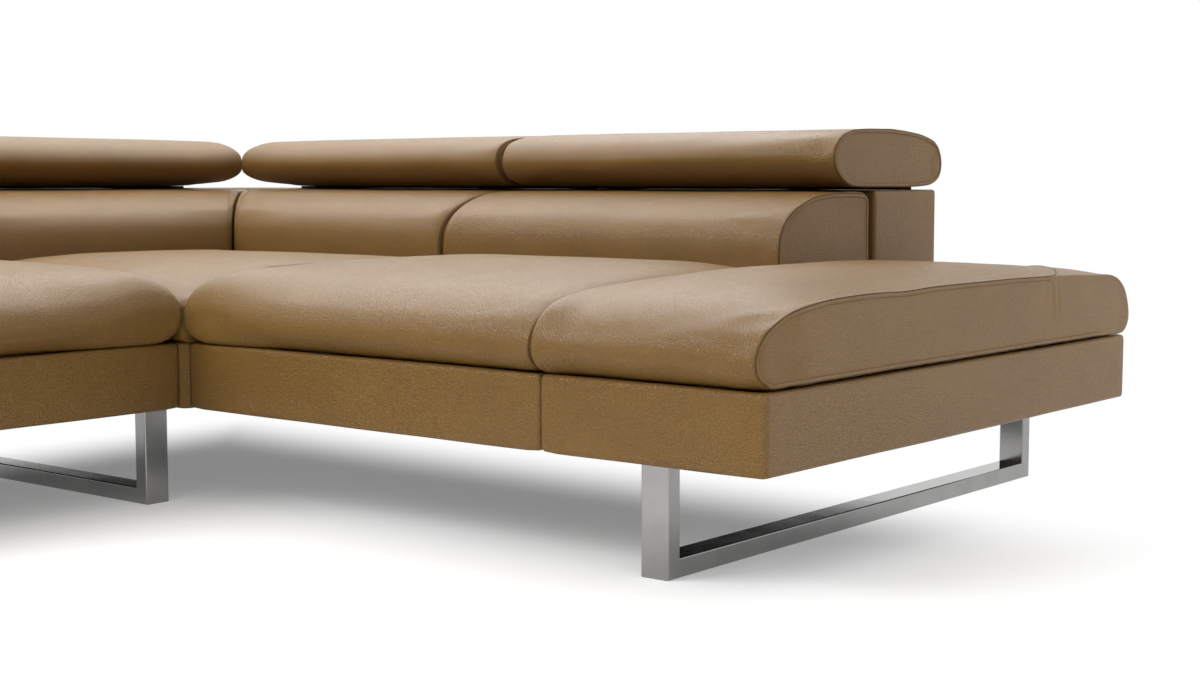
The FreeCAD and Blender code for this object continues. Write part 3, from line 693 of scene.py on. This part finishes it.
# Seat cushions. A nose or tail lists distances behind its foremost or rearmost point, each with
# its share of the height
seat_nose = ((36, 0.0), (9, 0.12), (0, 0.28), (14, 0.56), (61, 0.8), (140, 0.94), (292, 1.0))
seat_tail = ((338, 1.0), (187, 0.96), (64, 0.87), (20, 0.66), (0, 0.27), (7, 0.11), (30, 0.0))
cushion_shift = 10
round_end = (0, 0.6, 2.5, 6, 12, 20, 30, 42, 54)
flat_end = (0, 5, 14, 26)


def seat_loop(front, rear, bottom, top, square_rear, blunt=1.0):
    """The outline across a seat. A small blunt draws the top forward over the nose."""
    rise = top - bottom
    points = [(front + back * blunt, bottom + share * rise) for back, share in seat_nose]
    if square_rear:
        points += [
            (rear - 240, top + 1), (rear - 90, top - 1), (rear - 30, top - 5), (rear - 4, top - 30),
            (rear, bottom + 0.5 * rise), (rear - 2, bottom + 12), (rear - 20, bottom),
            (rear - 90, bottom),
        ]
        sides = (0, 4, 9, 13)
    else:
        points.append(((points[6][0] + rear - seat_tail[0][0]) / 2, top + 1.5))
        points += [(rear - forward, bottom + share * rise) for forward, share in seat_tail]
        points.append((rear - 90, bottom))
        sides = (0, 4, 10, 14)
    points.append((front + 90, bottom))
    return points, sides


def swelled(form, low, high, runs, amount):
    """Raises a seat's top in a soft dome. Its slopes' lengths are given for -X, +X, -Y and +Y."""
    for p in form.points:
        share = share_of((p[2] - base_top - 60) / 70)
        distances = (p[0] - low[0], high[0] - p[0], p[1] - low[1], high[1] - p[1])
        for distance, run in zip(distances, runs):
            t = share_of(distance / run)
            share *= t * t * (3 - 2 * t)
        p[2] += amount * share


def end_seat():
    """The long end seat: pillow-soft against its neighbour, and a flat seamed side outwards."""
    drawn_in, corner_run = 11, 150
    dip, dip_place, dip_length = 3.5, 385, 70
    low, high = node_box("seat_cushion_end_right")
    x0, side = low[0] - cushion_shift, high[0] - 5

    def outline(x):
        a, b = x - x0, side - x
        top = crown_height - quarter(a, 46, 15) - settle(a, 160, 9) - settle(b, 150, 15)
        bottom = base_top + quarter(a, 26, 12) + settle(b, 60, 4.7)
        front = low[1] + quarter(a, 8, 3)
        rear = high[1] - quarter(a, 30, 12)
        return seat_loop(front, rear, bottom, top, False, min(1, 0.55 + 0.45 * a / 60))

    form = Form(stations(x0, side, 13, round_end, flat_end), outline, 12, 92, (0.0, 4.0))
    swelled(form, (x0 - 20, low[1]), (side + 20, 1130), (170, 200, 420, 520), 13)
    for p in form.points:
        outer = share_of(1 - (side - p[0]) / 80)
        upper = share_of((p[2] - 370) / 40)
        p[0] -= drawn_in * outer * share_of(1 - (p[1] - low[1]) / corner_run) ** 2
        p[2] -= dip * outer * math.exp(-(((p[1] - dip_place) / dip_length) ** 2)) * upper
    piece = mesh_object("seat_end", form.points, form.faces)
    loop = form.loop(-1)
    stuff(piece, list(loop) + form.where(lambda p: p[2] < base_top + 2), 2)
    unevenness(piece, 0.8, 210, 3)
    keep_inside(piece, (x0, low[1] - 4, base_top), (high[0] + 2, high[1] + 4, high[2] + 16))
    return piece, loop


def middle_seat():
    """The seat beside the corner: deeply rounded towards the corner."""
    low, high = node_box("seat_cushion_middle_right")
    x0, x1 = low[0], high[0] - cushion_shift
    xs = stations(x0, x1, 13, (0, 0.5, 2, 5, 10, 17, 26, 38, 52, 68), round_end)

    def outline(x):
        a, b = x - x0, x1 - x
        top = crown_height - quarter(a, 80, 46) - quarter(a, 300, 20)
        top -= quarter(b, 46, 15) + settle(b, 130, 6)
        bottom = base_top + quarter(a, 54, 36) + settle(a, 170, 4) + quarter(b, 26, 12)
        front = low[1] + quarter(a, 8, 4) + quarter(b, 8, 3)
        return seat_loop(front, high[1], bottom, top, True, min(1, 0.1 + 0.9 * a / 260))

    form = Form(xs, outline, 12, 50)
    swelled(form, (x0 - 30, low[1]), (x1 + 20, high[1] + 25), (240, 170, 400, 130), 11)
    piece = mesh_object("seat_middle", form.points, form.faces)
    stuff(piece, form.where(lambda p: p[2] < base_top + 2 or p[1] > high[1] - 8), 2)
    unevenness(piece, 0.8, 210, 8)
    keep_inside(piece, (x0, low[1] - 4, base_top), (x1, high[1], high[2] + 14))
    return piece, form.loop(-3)


def corner_seat():
    """The square seat in the corner, lower towards the point where the three seats meet."""
    crown, lowered, run = 434, 54, 210
    low, high = node_box("seat_cushion_corner")
    (x0, y0), (x1, y1) = low[:2], high[:2]

    def outline(x):
        a, b = x - x0, x1 - x
        top = crown - quarter(a, 60, 12) - quarter(b, 60, 14)
        return [
            (y0 + 8, base_top), (y0 + 1, base_top + 12), (y0, base_top + 60), (y0 + 3, top - 36),
            (y0 + 22, top - 17), (y0 + 70, top - 9), (y0 + 200, top - 1), ((y0 + y1) / 2, top + 1),
            (y1 - 180, top), (y1 - 70, top - 4), (y1 - 22, top - 12), (y1 - 3, top - 32),
            (y1, base_top + 60), (y1 - 1, base_top + 12), (y1 - 8, base_top), (y1 - 80, base_top),
            (y0 + 80, base_top),
        ], (0, 4, 10, 14)

    form = Form(stations(x0, x1, 14, round_end[:6], round_end[:6]), outline, 10, 46)
    for p in form.points:
        share = (p[2] - base_top) / (crown - base_top)
        near = share_of(1 - (x1 - p[0]) / run) * share_of(1 - (p[1] - y0) / run)
        p[2] -= lowered * near * share
        over = p[0] - p[1] - 2 * x1 + 9
        if over > 0:
            p[0] -= over / 2
            p[1] += over / 2
    piece = mesh_object("seat_cushion_corner_leather", form.points, form.faces)
    stuff(piece, form.where(lambda p: p[2] < base_top + 80), 4)
    unevenness(piece, 1.2, 160, 5)
    keep_inside(piece, (x0, y0, base_top), (x1, y1, high[2] + 14))
    return piece


# Back cushions
def back_loop(front, rear, bottom, top):
    """The outline across a back cushion, whose top rolls over towards the front."""
    run, fall = 222, 84
    points = [
        (front + 6, bottom), (front, bottom + 14), (front - 1, bottom + 90),
        (front + 0.5, top - fall), (front + 0.072 * run, top - 0.68 * fall),
        (front + 0.19 * run, top - 0.43 * fall), (front + 0.35 * run, top - 0.235 * fall),
        (front + 0.54 * run, top - 0.085 * fall), (front + 0.78 * run, top - 0.01 * fall),
        (front + run, top), (rear - 40, top - 1), (rear - 12, top - 3), (rear - 2, top - 14),
        (rear, top - 60), (rear, bottom + 60), (rear - 3, bottom + 6), (rear - 12, bottom),
        (rear - 80, bottom), (front + 80, bottom),
    ]
    return points, (0, 4, 12, 16)


def middle_back():
    """The wing's back cushion, with a flat seamed side outwards."""
    low, high = node_box("back_cushion_right")
    x0, x1 = low[0] - 3, high[0]

    def outline(x):
        a, b = x - x0, x1 - x
        fall = quarter(a, 20, 9) + settle(a, 60, 2) + settle(b, 60, 2)
        return back_loop(low[1] + fall, high[1], base_top, high[2] - fall)

    form = Form(stations(x0, x1, 13, round_end[:7], flat_end), outline, 16, 26, (0.0, 3.0))
    piece = mesh_object("back_rest", form.points, form.faces)
    loop = form.loop(-1)
    hidden = form.where(lambda p: p[2] < base_top + 100 or p[1] > high[1] - 3)
    stuff(piece, list(loop) + hidden, 2)
    unevenness(piece, 1.2, 160, 11)
    keep_inside(piece, (x0, low[1] - 1.5, base_top), (x1 + 4, high[1], high[2] + 1.5))
    return piece, loop


def corner_back():
    """The corner's back cushion, which meets its twin in a mitre along the line y = -x."""
    low, high = node_box("back_cushion_corner_right")
    x1 = high[0] - 3
    front, rear = low[1], high[1]

    def outline(x):
        fall = quarter(x1 - x, 30, 14) + settle(x1 - x, 70, 3)
        return back_loop(front + fall, rear, base_top, high[2] - fall)

    form = Form(stations(-front, x1, 13, (0, 3, 7, 13), round_end[:7]), outline, 16, 26)
    for p in form.points:
        gap = p[0] + front
        p[0] -= share_of(1 - gap / 120) * (p[1] - front - 0.5)
        draw = quarter(gap, 5, 1.5) + settle(gap, 32, 3)
        if p[1] < rear - 30:
            p[1] += draw * share_of((p[2] - 300) / 60) * 0.8
            p[2] -= draw * share_of((p[2] - 480) / 80) * 0.8
    piece = mesh_object("back_rest_corner", form.points, form.faces)
    hidden = form.where(lambda p: p[2] < base_top + 100 or p[1] > rear - 3 or p[0] + p[1] < 5)
    stuff(piece, hidden, 2)
    unevenness(piece, 1.2, 160, 17)
    co = vertex_array(piece.data)
    co[:, 0] += np.maximum(0.3 * MM - (co[:, 0] + co[:, 1]), 0)
    place_points(piece, co)
    keep_inside(piece, (-rear, front - 1.5, base_top), (x1, rear, high[2] + 1.5))
    return piece, form.loop(3), form.loop(-4)


# Headrests
headrest_nose = ((66, 0.035), (23, 0.19), (0, 0.465), (21, 0.776), (71, 0.94), (200, 1.0))
headrest_tail = (
    (85, 0.914), (22, 0.75), (0, 0.448), (9, 0.19), (45, 0.06), (95, 0.012), (152, 0.0),
)


def headrest_loop(front, rear, bottom, top, full_height):
    """The outline across a headrest, rounder where it is lower."""
    rise = top - bottom
    size = (rise / full_height) ** 3
    points = [(front + back * size, bottom + share * rise) for back, share in headrest_nose]
    points.append(((points[-1][0] + rear - 150 * size) / 2, top))
    points += [(rear - forward * size, bottom + share * rise) for forward, share in headrest_tail]
    points.append((front + 150 * size, bottom))
    return points, (0, 4, 8, 11)


def headrest(stem):
    """A pillow headrest. The wing's has a flat seamed end, and the corner's a rounded tip."""
    seamed = stem == ""
    low, high = node_box("headrest_cushion_" + stem + "right")
    x0, x1 = low[0] - (3 if seamed else 14), high[0] - (0 if seamed else 5)
    height = high[2] - low[2]
    tip = (0, 0.3, 1.2, 3, 6, 10.5, 16, 23, 32, 43, 56)
    ends = (round_end[:7], flat_end) if seamed else (tip, round_end[:7])

    def outline(x):
        a, b = x - x0, x1 - x
        soft, depth = (a, 9) if seamed else (b, 17)
        over = quarter(soft, 30, depth) + settle(soft, 70, 2)
        under, plan = over, quarter(soft, 30, depth)
        if seamed:
            over += settle(b, 70, 2)
        else:
            over += quarter(a, 30, 50) + settle(a, 200, 4)
            under += quarter(a, 26, 36) + settle(a, 130, 12)
            plan += quarter(a, 6, 3)
        front, rear = low[1] + plan, high[1] - plan
        return headrest_loop(front, rear, low[2] + under, high[2] - over, height)

    bulges = (0.0, 3.0 if seamed else 0.0)
    form = Form(stations(x0, x1, 13, *ends), outline, 11, 32, bulges)
    piece = mesh_object("headrest_" + (stem or "wing_") + "leather", form.points, form.faces)
    hidden = form.where(lambda p: p[2] < low[2] + 2)
    stuff(piece, (list(form.loop(-1)) if seamed else []) + hidden, 2)
    unevenness(piece, 0.9, 170, 23, low[2])
    end = x1 + (4 if seamed else 0)
    keep_inside(piece, (x0, low[1] - 3, low[2]), (end, high[1] + 3, high[2] + 2))
    return piece, form.loop(-1 if seamed else -4)


end_piece, end_loop = end_seat()
middle_piece, middle_joint = middle_seat()
corner_piece = corner_seat()
back_piece, back_ring = middle_back()
mitre_piece, mitre_ring, mitre_joint = corner_back()
wing_rest, wing_ring = headrest("")
corner_rest, corner_joint = headrest("corner_")
for piece in (
    end_piece, middle_piece, corner_piece, back_piece, mitre_piece, wing_rest, corner_rest,
):
    refine(piece)


def end_seat_seam():
    """The seam's two parts, in metres: round the flat side, and from its edge over the top."""
    start_y, leave_y, leave_z = 1.13, 0.905, 0.36
    plan = [(1258, 919), (1244, 958), (1210, 1027), (1142, 1121), (1060, 1192), (985, 1240)]
    steps, rear_steps = 6, 14
    ring_points = ring_line(end_piece, end_loop)
    lowest = ring_points[:, 2] < (base_top + 14) * MM
    start = int(np.argmin(np.where(lowest, np.abs(ring_points[:, 1] - start_y), 9)))
    turned = np.roll(ring_points, -start, axis=0)
    stop = next(
        i for i, p in enumerate(turned) if i > 40 and p[2] > leave_z and p[1] > leave_y
    )
    tree = surface(end_piece)
    over = []
    for a, b in zip(plan, plan[1:]):
        for k in range(steps):
            x, y = (a[j] + (b[j] - a[j]) * k / steps for j in (0, 1))
            over.append(tree.ray_cast(Vector((x * MM, y * MM, 0.6)), Vector((0, 0, -1)))[0])
    for k in range(rear_steps):
        angle = math.radians(48 - 9 * k)
        origin = Vector((0.985 - 0.0012 * k, 1.17, 0.35))
        over.append(tree.ray_cast(origin, Vector((0, math.cos(angle), math.sin(angle))))[0])
    return turned[:stop], [p for p in over if p is not None and p.z > 0.3]


edge_line, over_line = end_seat_seam()
fine_over = resample([edge_line[-1]] + over_line)
press(end_piece, fine_over, 1.3, 9)
fold(end_piece, (1262, 921, 412), (1262, 930, 330), 1.5, 5)
fold(end_piece, (1262, 62, 304), (1262, 100, 336), 1.0, 5)
fold(end_piece, (1262, 84, 302), (1262, 118, 330), 0.8, 5)
fold(wing_rest, (853, 1228, 592), (853, 1222, 632), 1.2, 4)
# The welt round the end seat's flat side and the seam over its top: their dark lines are painted
# shade of the seam grooves
border("seat_end_welt", "sofa", end_piece, edge_line, False)
seam("seat_end_top_seam", "sofa", laid(surface(end_piece), fine_over))

# The back cushions' seams are seen above the seats only, from this height in metres
seam_low = 0.40
back_line = ring_line(back_piece, back_ring)
keep = back_line[:, 2] > seam_low
first = next(i for i in range(len(keep)) if keep[i] and not keep[i - 1])
back_line = np.roll(back_line, -first, axis=0)
back_line = back_line[:next(i for i, p in enumerate(back_line) if i > 5 and p[2] < seam_low)]
border("back_rest_welt", "sofa", back_piece, back_line, False)
border("headrest_welt", "headrest", wing_rest, ring_line(wing_rest, wing_ring), True)

# Painted shade in the joints between the seats, the back cushions and the headrests
joint_shade_band("seat_joint_shade", "sofa", middle_piece, middle_joint, 1.4)
joint_shade_band("back_joint_shade", "sofa", mitre_piece, mitre_joint, 4.0)
joint_shade_band("headrest_joint_shade", "headrest_corner", corner_rest, corner_joint, 4.0)

mitre_line = ring_line(mitre_piece, mitre_ring)
mitre_line = np.array([p for p in mitre_line if p[1] < 0.94 and p[2] > seam_low])
order = np.argsort(mitre_line[:, 1] + 0.6 * mitre_line[:, 2])
mitre_line = resample(mitre_line[order])
press(mitre_piece, mitre_line, 1.2, 6)
# The mitre seam's dark line is painted shade of its groove
seam("back_mitre_seam", "sofa", laid(surface(mitre_piece), mitre_line), look=soft_seam_shade)

# The slots that the hinge brackets sweep under the headrests
slot = [(925, 635.3), (1059.5, 568), (1059.5, 500), (920, 500), (920, 632)]
half_slot = 7
for piece, places in ((wing_rest, (200, 665)), (corner_rest, (-175, -643))):
    for x in places:
        cut(piece, slot, x - half_slot, x + half_slot)

pair(end_piece, "sofa", "seat_leather_end", "seat_cushion_end", fill=0.75)
pair(middle_piece, "sofa", "seat_leather_middle", "seat_cushion_middle", fill=0.75)
finish_piece(corner_piece, "sofa", "seat_cushion_corner")
pair(back_piece, "sofa", "back_leather", "back_cushion", fill=0.7)
pair(mitre_piece, "sofa", "back_leather_corner", "back_cushion_corner", fill=0.7)
pair(wing_rest, "headrest", "headrest_leather", "headrest_cushion", fill=0.8)
pair(
    corner_rest, "headrest_corner", "headrest_leather_corner", "headrest_cushion_corner",
    fill=0.8,
)


# Leather wrapped over the bases and the backs
def wrapped(name, corners, radii, profile, step=24, capped=False):
    """A skin round a polygon: a ring for each (inset, height) of its profile, bottom first."""
    rings = [rounded(corners, radii, inset, step) for inset, z in profile]
    n = len(rings[0])
    points = [(*p, z) for r, (inset, z) in zip(rings, profile) for p in r]
    faces = bands(len(rings), n)
    if capped:
        faces.append(range(len(points) - n, len(points)))
    return mesh_object(name, points, faces)


def wall(bottom, top, lip, rows):
    """The profile of a wrapped wall: a lip, a soft edge, the wall, a soft edge and a lip."""
    edge = ((lip, 0.6), (7, 0), (2.8, 1.2), (0.7, 4.2), (0, 10))
    middle = np.linspace(bottom + 10, top - 10, rows + 1)[1:-1]
    low = [(inset, bottom + rise) for inset, rise in edge]
    high = [(inset, top - fall) for inset, fall in reversed(edge)]
    return low + [(0, z) for z in middle] + high


def tighten(piece, joints):
    """Draws a plinth's edges in beside its upright joints, given by X, as tight leather does."""
    low_run, low_lift, top_run, top_drop = 24, 6, 12, 3.5
    co = vertex_array(piece.data) / MM
    middle = (plinth_low + plinth_top) / 2
    for place in joints:
        d = np.abs(co[:, 0] - place)
        near = share_of(np.abs(co[:, 2] - middle) / (middle - plinth_low)) ** 2
        at_low, at_top = quarter(d, low_run, low_lift), -quarter(d, top_run, top_drop)
        co[:, 2] += np.where(co[:, 2] < middle, at_low, at_top) * near
    place_points(piece, co * MM)


def rectangle(x0, y0, x1, y1):
    return [(x0, y0), (x1, y0), (x1, y1), (x0, y1)]


def box_corners(name):
    low, high = node_box(name)
    return rectangle(*low[:2], *high[:2])


for part, radii, joints, seed in (
    ("end", (8, 12, 12, 8), (850,), 31),
    ("middle", (8, 8, 8, 8), (12, 850), 37),
):
    corners = box_corners("plinth_cover_" + part + "_right")
    skin = wrapped("plinth_" + part, corners, radii, wall(plinth_low, plinth_top, 20, 8))
    tighten(skin, joints)
    unevenness(skin, 0.9, 200, seed)
    pair(skin, "sofa", "plinth_leather_" + part, "plinth_cover_" + part)
low, high = node_box("plinth_cover_corner")
tip = [(low[0], low[1]), (0, low[1]), (high[0], 0), (high[0], high[1]), (low[0], high[1])]
corner_wall = wall(plinth_low, plinth_top, 16, 8)
skin = wrapped("plinth_leather_corner", tip, (8, 4, 4, 8, 12), corner_wall)
unevenness(skin, 0.9, 200, 41)
finish_piece(skin, "sofa", "plinth_cover_corner")

back_wall = wall(plinth_top, back_top, 14, 12)
skin = wrapped("back_skin", box_corners("back_cover_right"), (8, 8, 5, 8), back_wall, capped=True)
unevenness(skin, 0.5, 200, 43)
fold(skin, (850, 1001, 556), (850, 1014, 536), 1.4, 4)
pair(skin, "sofa", "back_skin", "back_cover")
low, high = node_box("back_cover_corner")
inner = high[1] - 243
elbow = [
    (low[0], low[1]), (-inner, low[1]), (-inner, inner),
    (high[0], inner), (high[0], high[1]), (low[0], high[1]),
]
skin = wrapped("back_skin_corner", elbow, (8, 8, 8, 8, 8, 12), back_wall, capped=True)
unevenness(skin, 0.5, 200, 47)
finish_piece(skin, "sofa", "back_cover_corner")

# Dark felt strips on the backs, which the headrests lie down on: painted shade that fills the gap
# under the headrests
gap_shade_edge = [(0, back_top), (0, 569.3), (0.8, 570.1)]
wing_low, wing_high = node_box("headrest_cushion_right")
corner_low, corner_high = node_box("headrest_cushion_corner_right")
for place, x0, x1, y0, y1 in (
    ("rear_wing", wing_low[0] + 2, wing_high[0] - 14, 1116, 1168),
    ("rear_corner", corner_low[0] + 2, corner_high[0] - 2, 1116, 1168),
    ("front_corner", corner_low[0] + 77, corner_low[0] + 205, 950, 1000),
):
    pad = wrapped("gap_shade_felt", rectangle(x0, y0, x1, y1), (6, 6, 6, 6), gap_shade_edge, 40, True)
    pair(pad, "sofa", "gap_shade_strip_" + place, slot="dust_cloth", look=gap_shade_felt)

# CAD nodes that keep their shape
looks = {
    "leather": leather,
    "timber": make_timber(),
    "chrome": make_chrome(),
    "black_steel": make_plain(
        "black_paint", (0.010, 0.010, 0.011), (0.020, 0.020, 0.022), 0.7, 900, 0.0002
    ),
    "bright_steel": make_plain(
        "zinc_plate", (0.45, 0.45, 0.47), (0.60, 0.60, 0.62), 0.32, 300, 0.0001, 1.0
    ),
    "webbing": make_woven("elastic_webbing", (0.05, 0.035, 0.02), (0.16, 0.12, 0.08), 260),
    "dust_cloth": make_woven("dust_cloth", (0.012,) * 3, (0.035,) * 3, 420),
    "black_plastic": make_plain("black_plastic", (0.018,) * 3, (0.03,) * 3, 0.5, 1200, 0.0001),
    "glide_rubber": make_plain("glide_rubber", (0.015,) * 3, (0.025,) * 3, 0.8, 800, 0.0002),
}
slot_of = {s["node"]: s["material_slot"] for s in frame["record"]["subparts"]}
for name, piece in frame["nodes"].items():
    piece.data.materials.clear()
    piece.data.materials.append(looks[slot_of[name]])


# Floor, light and camera
# A glow on the floor where it is seen, which lifts the sofa's shadow: painted light
floor_glow = 0.22
front_light = 0.14
rear_light = 2.6
top_light = 0.95


def show(tree, output, seen, lighting):
    """Gives camera, glossy and transmission rays what is seen, and others what lights the sofa."""
    path = node(tree, "ShaderNodeLightPath")
    direct = calc(tree, "MAXIMUM", path["Is Camera Ray"], path["Is Glossy Ray"])
    direct = calc(tree, "MAXIMUM", direct, path["Is Transmission Ray"])
    mix = node(tree, "ShaderNodeMixShader", {0: direct, 1: lighting, 2: seen})
    connect(tree, tree.nodes[output], {"Surface": mix[0]})


def floor():
    """A pale floor, which glows where it is seen, and is plain white away from the sofa. The glow
    is painted light: it lifts the sofa's shadow, and turns the floor white from under the middle of
    each wing backwards, over the shadow there.
    """
    reach = 14000
    corners = rectangle(-reach, -reach, reach, reach)
    made = mesh_object("floor", [(x, y, 0) for x, y in corners], [(0, 1, 2, 3)])
    look, tree, place = material("pale_floor")
    shader = tree.nodes["Principled BSDF"]
    paint = {"Base Color": (0.92, 0.92, 0.92, 1), "Roughness": 0.9, "Specular IOR Level": 0.0}
    connect(tree, shader, paint)
    parts = node(tree, "ShaderNodeSeparateXYZ", {0: place})
    behind = calc(tree, "MAXIMUM", parts["Y"], calc(tree, "MULTIPLY", parts["X"], -1.0))
    away = node(tree, VECTORS, {0: place}, operation="LENGTH")["Value"]
    # Where the floor is forced to white: over the sofa's shadow behind the middle of each wing, and
    # far from the sofa
    painted_white = calc(tree, "MAXIMUM", spread(tree, behind, 0.42, 0.86), spread(tree, away, 1.7, 2.5))
    shadow_lift_glow = node(tree, "ShaderNodeEmission", {"Strength": floor_glow})[0]
    near = node(tree, "ShaderNodeAddShader", {0: shader.outputs[0], 1: shadow_lift_glow})[0]
    white = node(tree, "ShaderNodeEmission", {"Strength": 1.0})[0]
    seen = node(tree, "ShaderNodeMixShader", {0: painted_white, 1: near, 2: white})[0]
    dull = node(tree, "ShaderNodeBsdfDiffuse", {"Color": (0.8, 0.8, 0.8, 1)})[0]
    show(tree, "Material Output", seen, dull)
    made.data.materials.append(look)


def world():
    """Soft light from all round: strongest behind the sofa, weakest in front of it."""
    made = bpy.data.worlds.new("studio")
    bpy.context.scene.world = made
    made.use_nodes = True
    tree = made.node_tree
    background = tree.nodes["Background"]
    direction = node(tree, "ShaderNodeTexCoord")["Generated"]
    parts = node(tree, "ShaderNodeSeparateXYZ", {0: direction})
    leftwards = calc(tree, "MULTIPLY", parts["X"], -0.6)
    rear = calc(tree, "ADD", leftwards, calc(tree, "MULTIPLY", parts["Y"], 0.8))
    level = spread(tree, rear, 0.2, 0.95, front_light, rear_light)
    above = spread(tree, parts["Z"], 0.0, 0.85)
    below = calc(tree, "MULTIPLY", level, calc(tree, "SUBTRACT", 1.0, above))
    strength = calc(tree, "ADD", below, calc(tree, "MULTIPLY", above, top_light))
    connect(tree, background, {"Color": (1, 1, 1, 1), "Strength": strength})
    seen = node(tree, "ShaderNodeBackground", {"Color": (1, 1, 1, 1), "Strength": 1.0})[0]
    show(tree, "World Output", seen, background.outputs[0])


def lamp(name, place, target, size, power):
    """A rectangular soft light aimed at a target, in metres and watts."""
    light = bpy.data.lights.new(name, "AREA")
    light.shape = "RECTANGLE"
    light.size, light.size_y = size
    light.energy = power
    made = linked(name, light)
    made.location = place
    made.rotation_euler = (Vector(target) - Vector(place)).to_track_quat("-Z", "Y").to_euler()


floor()
world()
lamp("rear_softbox", (-1.5, 1.6, 2.3), (0.0, 0.3, 0.3), (3.2, 1.6), 58)
lamp("front_softbox", (-1.2, -2.4, 2.6), (0.2, 0.2, 0.3), (2.6, 1.6), 71)
lamp("side_softbox", (2.7, 1.9, 1.0), (1.0, 0.5, 0.3), (1.6, 1.0), 5)

# The camera solved from the photograph's straight edges: it looks down by a little, and is turned
# from the +Y direction towards -X
look_down, turn = 5.01, 38.85
camera = bpy.data.cameras.new("camera")
camera.sensor_width = 36
camera.lens = 53.36
view = linked("camera", camera)
view.location = (2.603, -2.030, 0.581)
view.rotation_euler = (math.radians(90 - look_down), 0, math.radians(turn))
bpy.context.scene.camera = view
bpy.context.scene.view_settings.view_transform = "Standard"
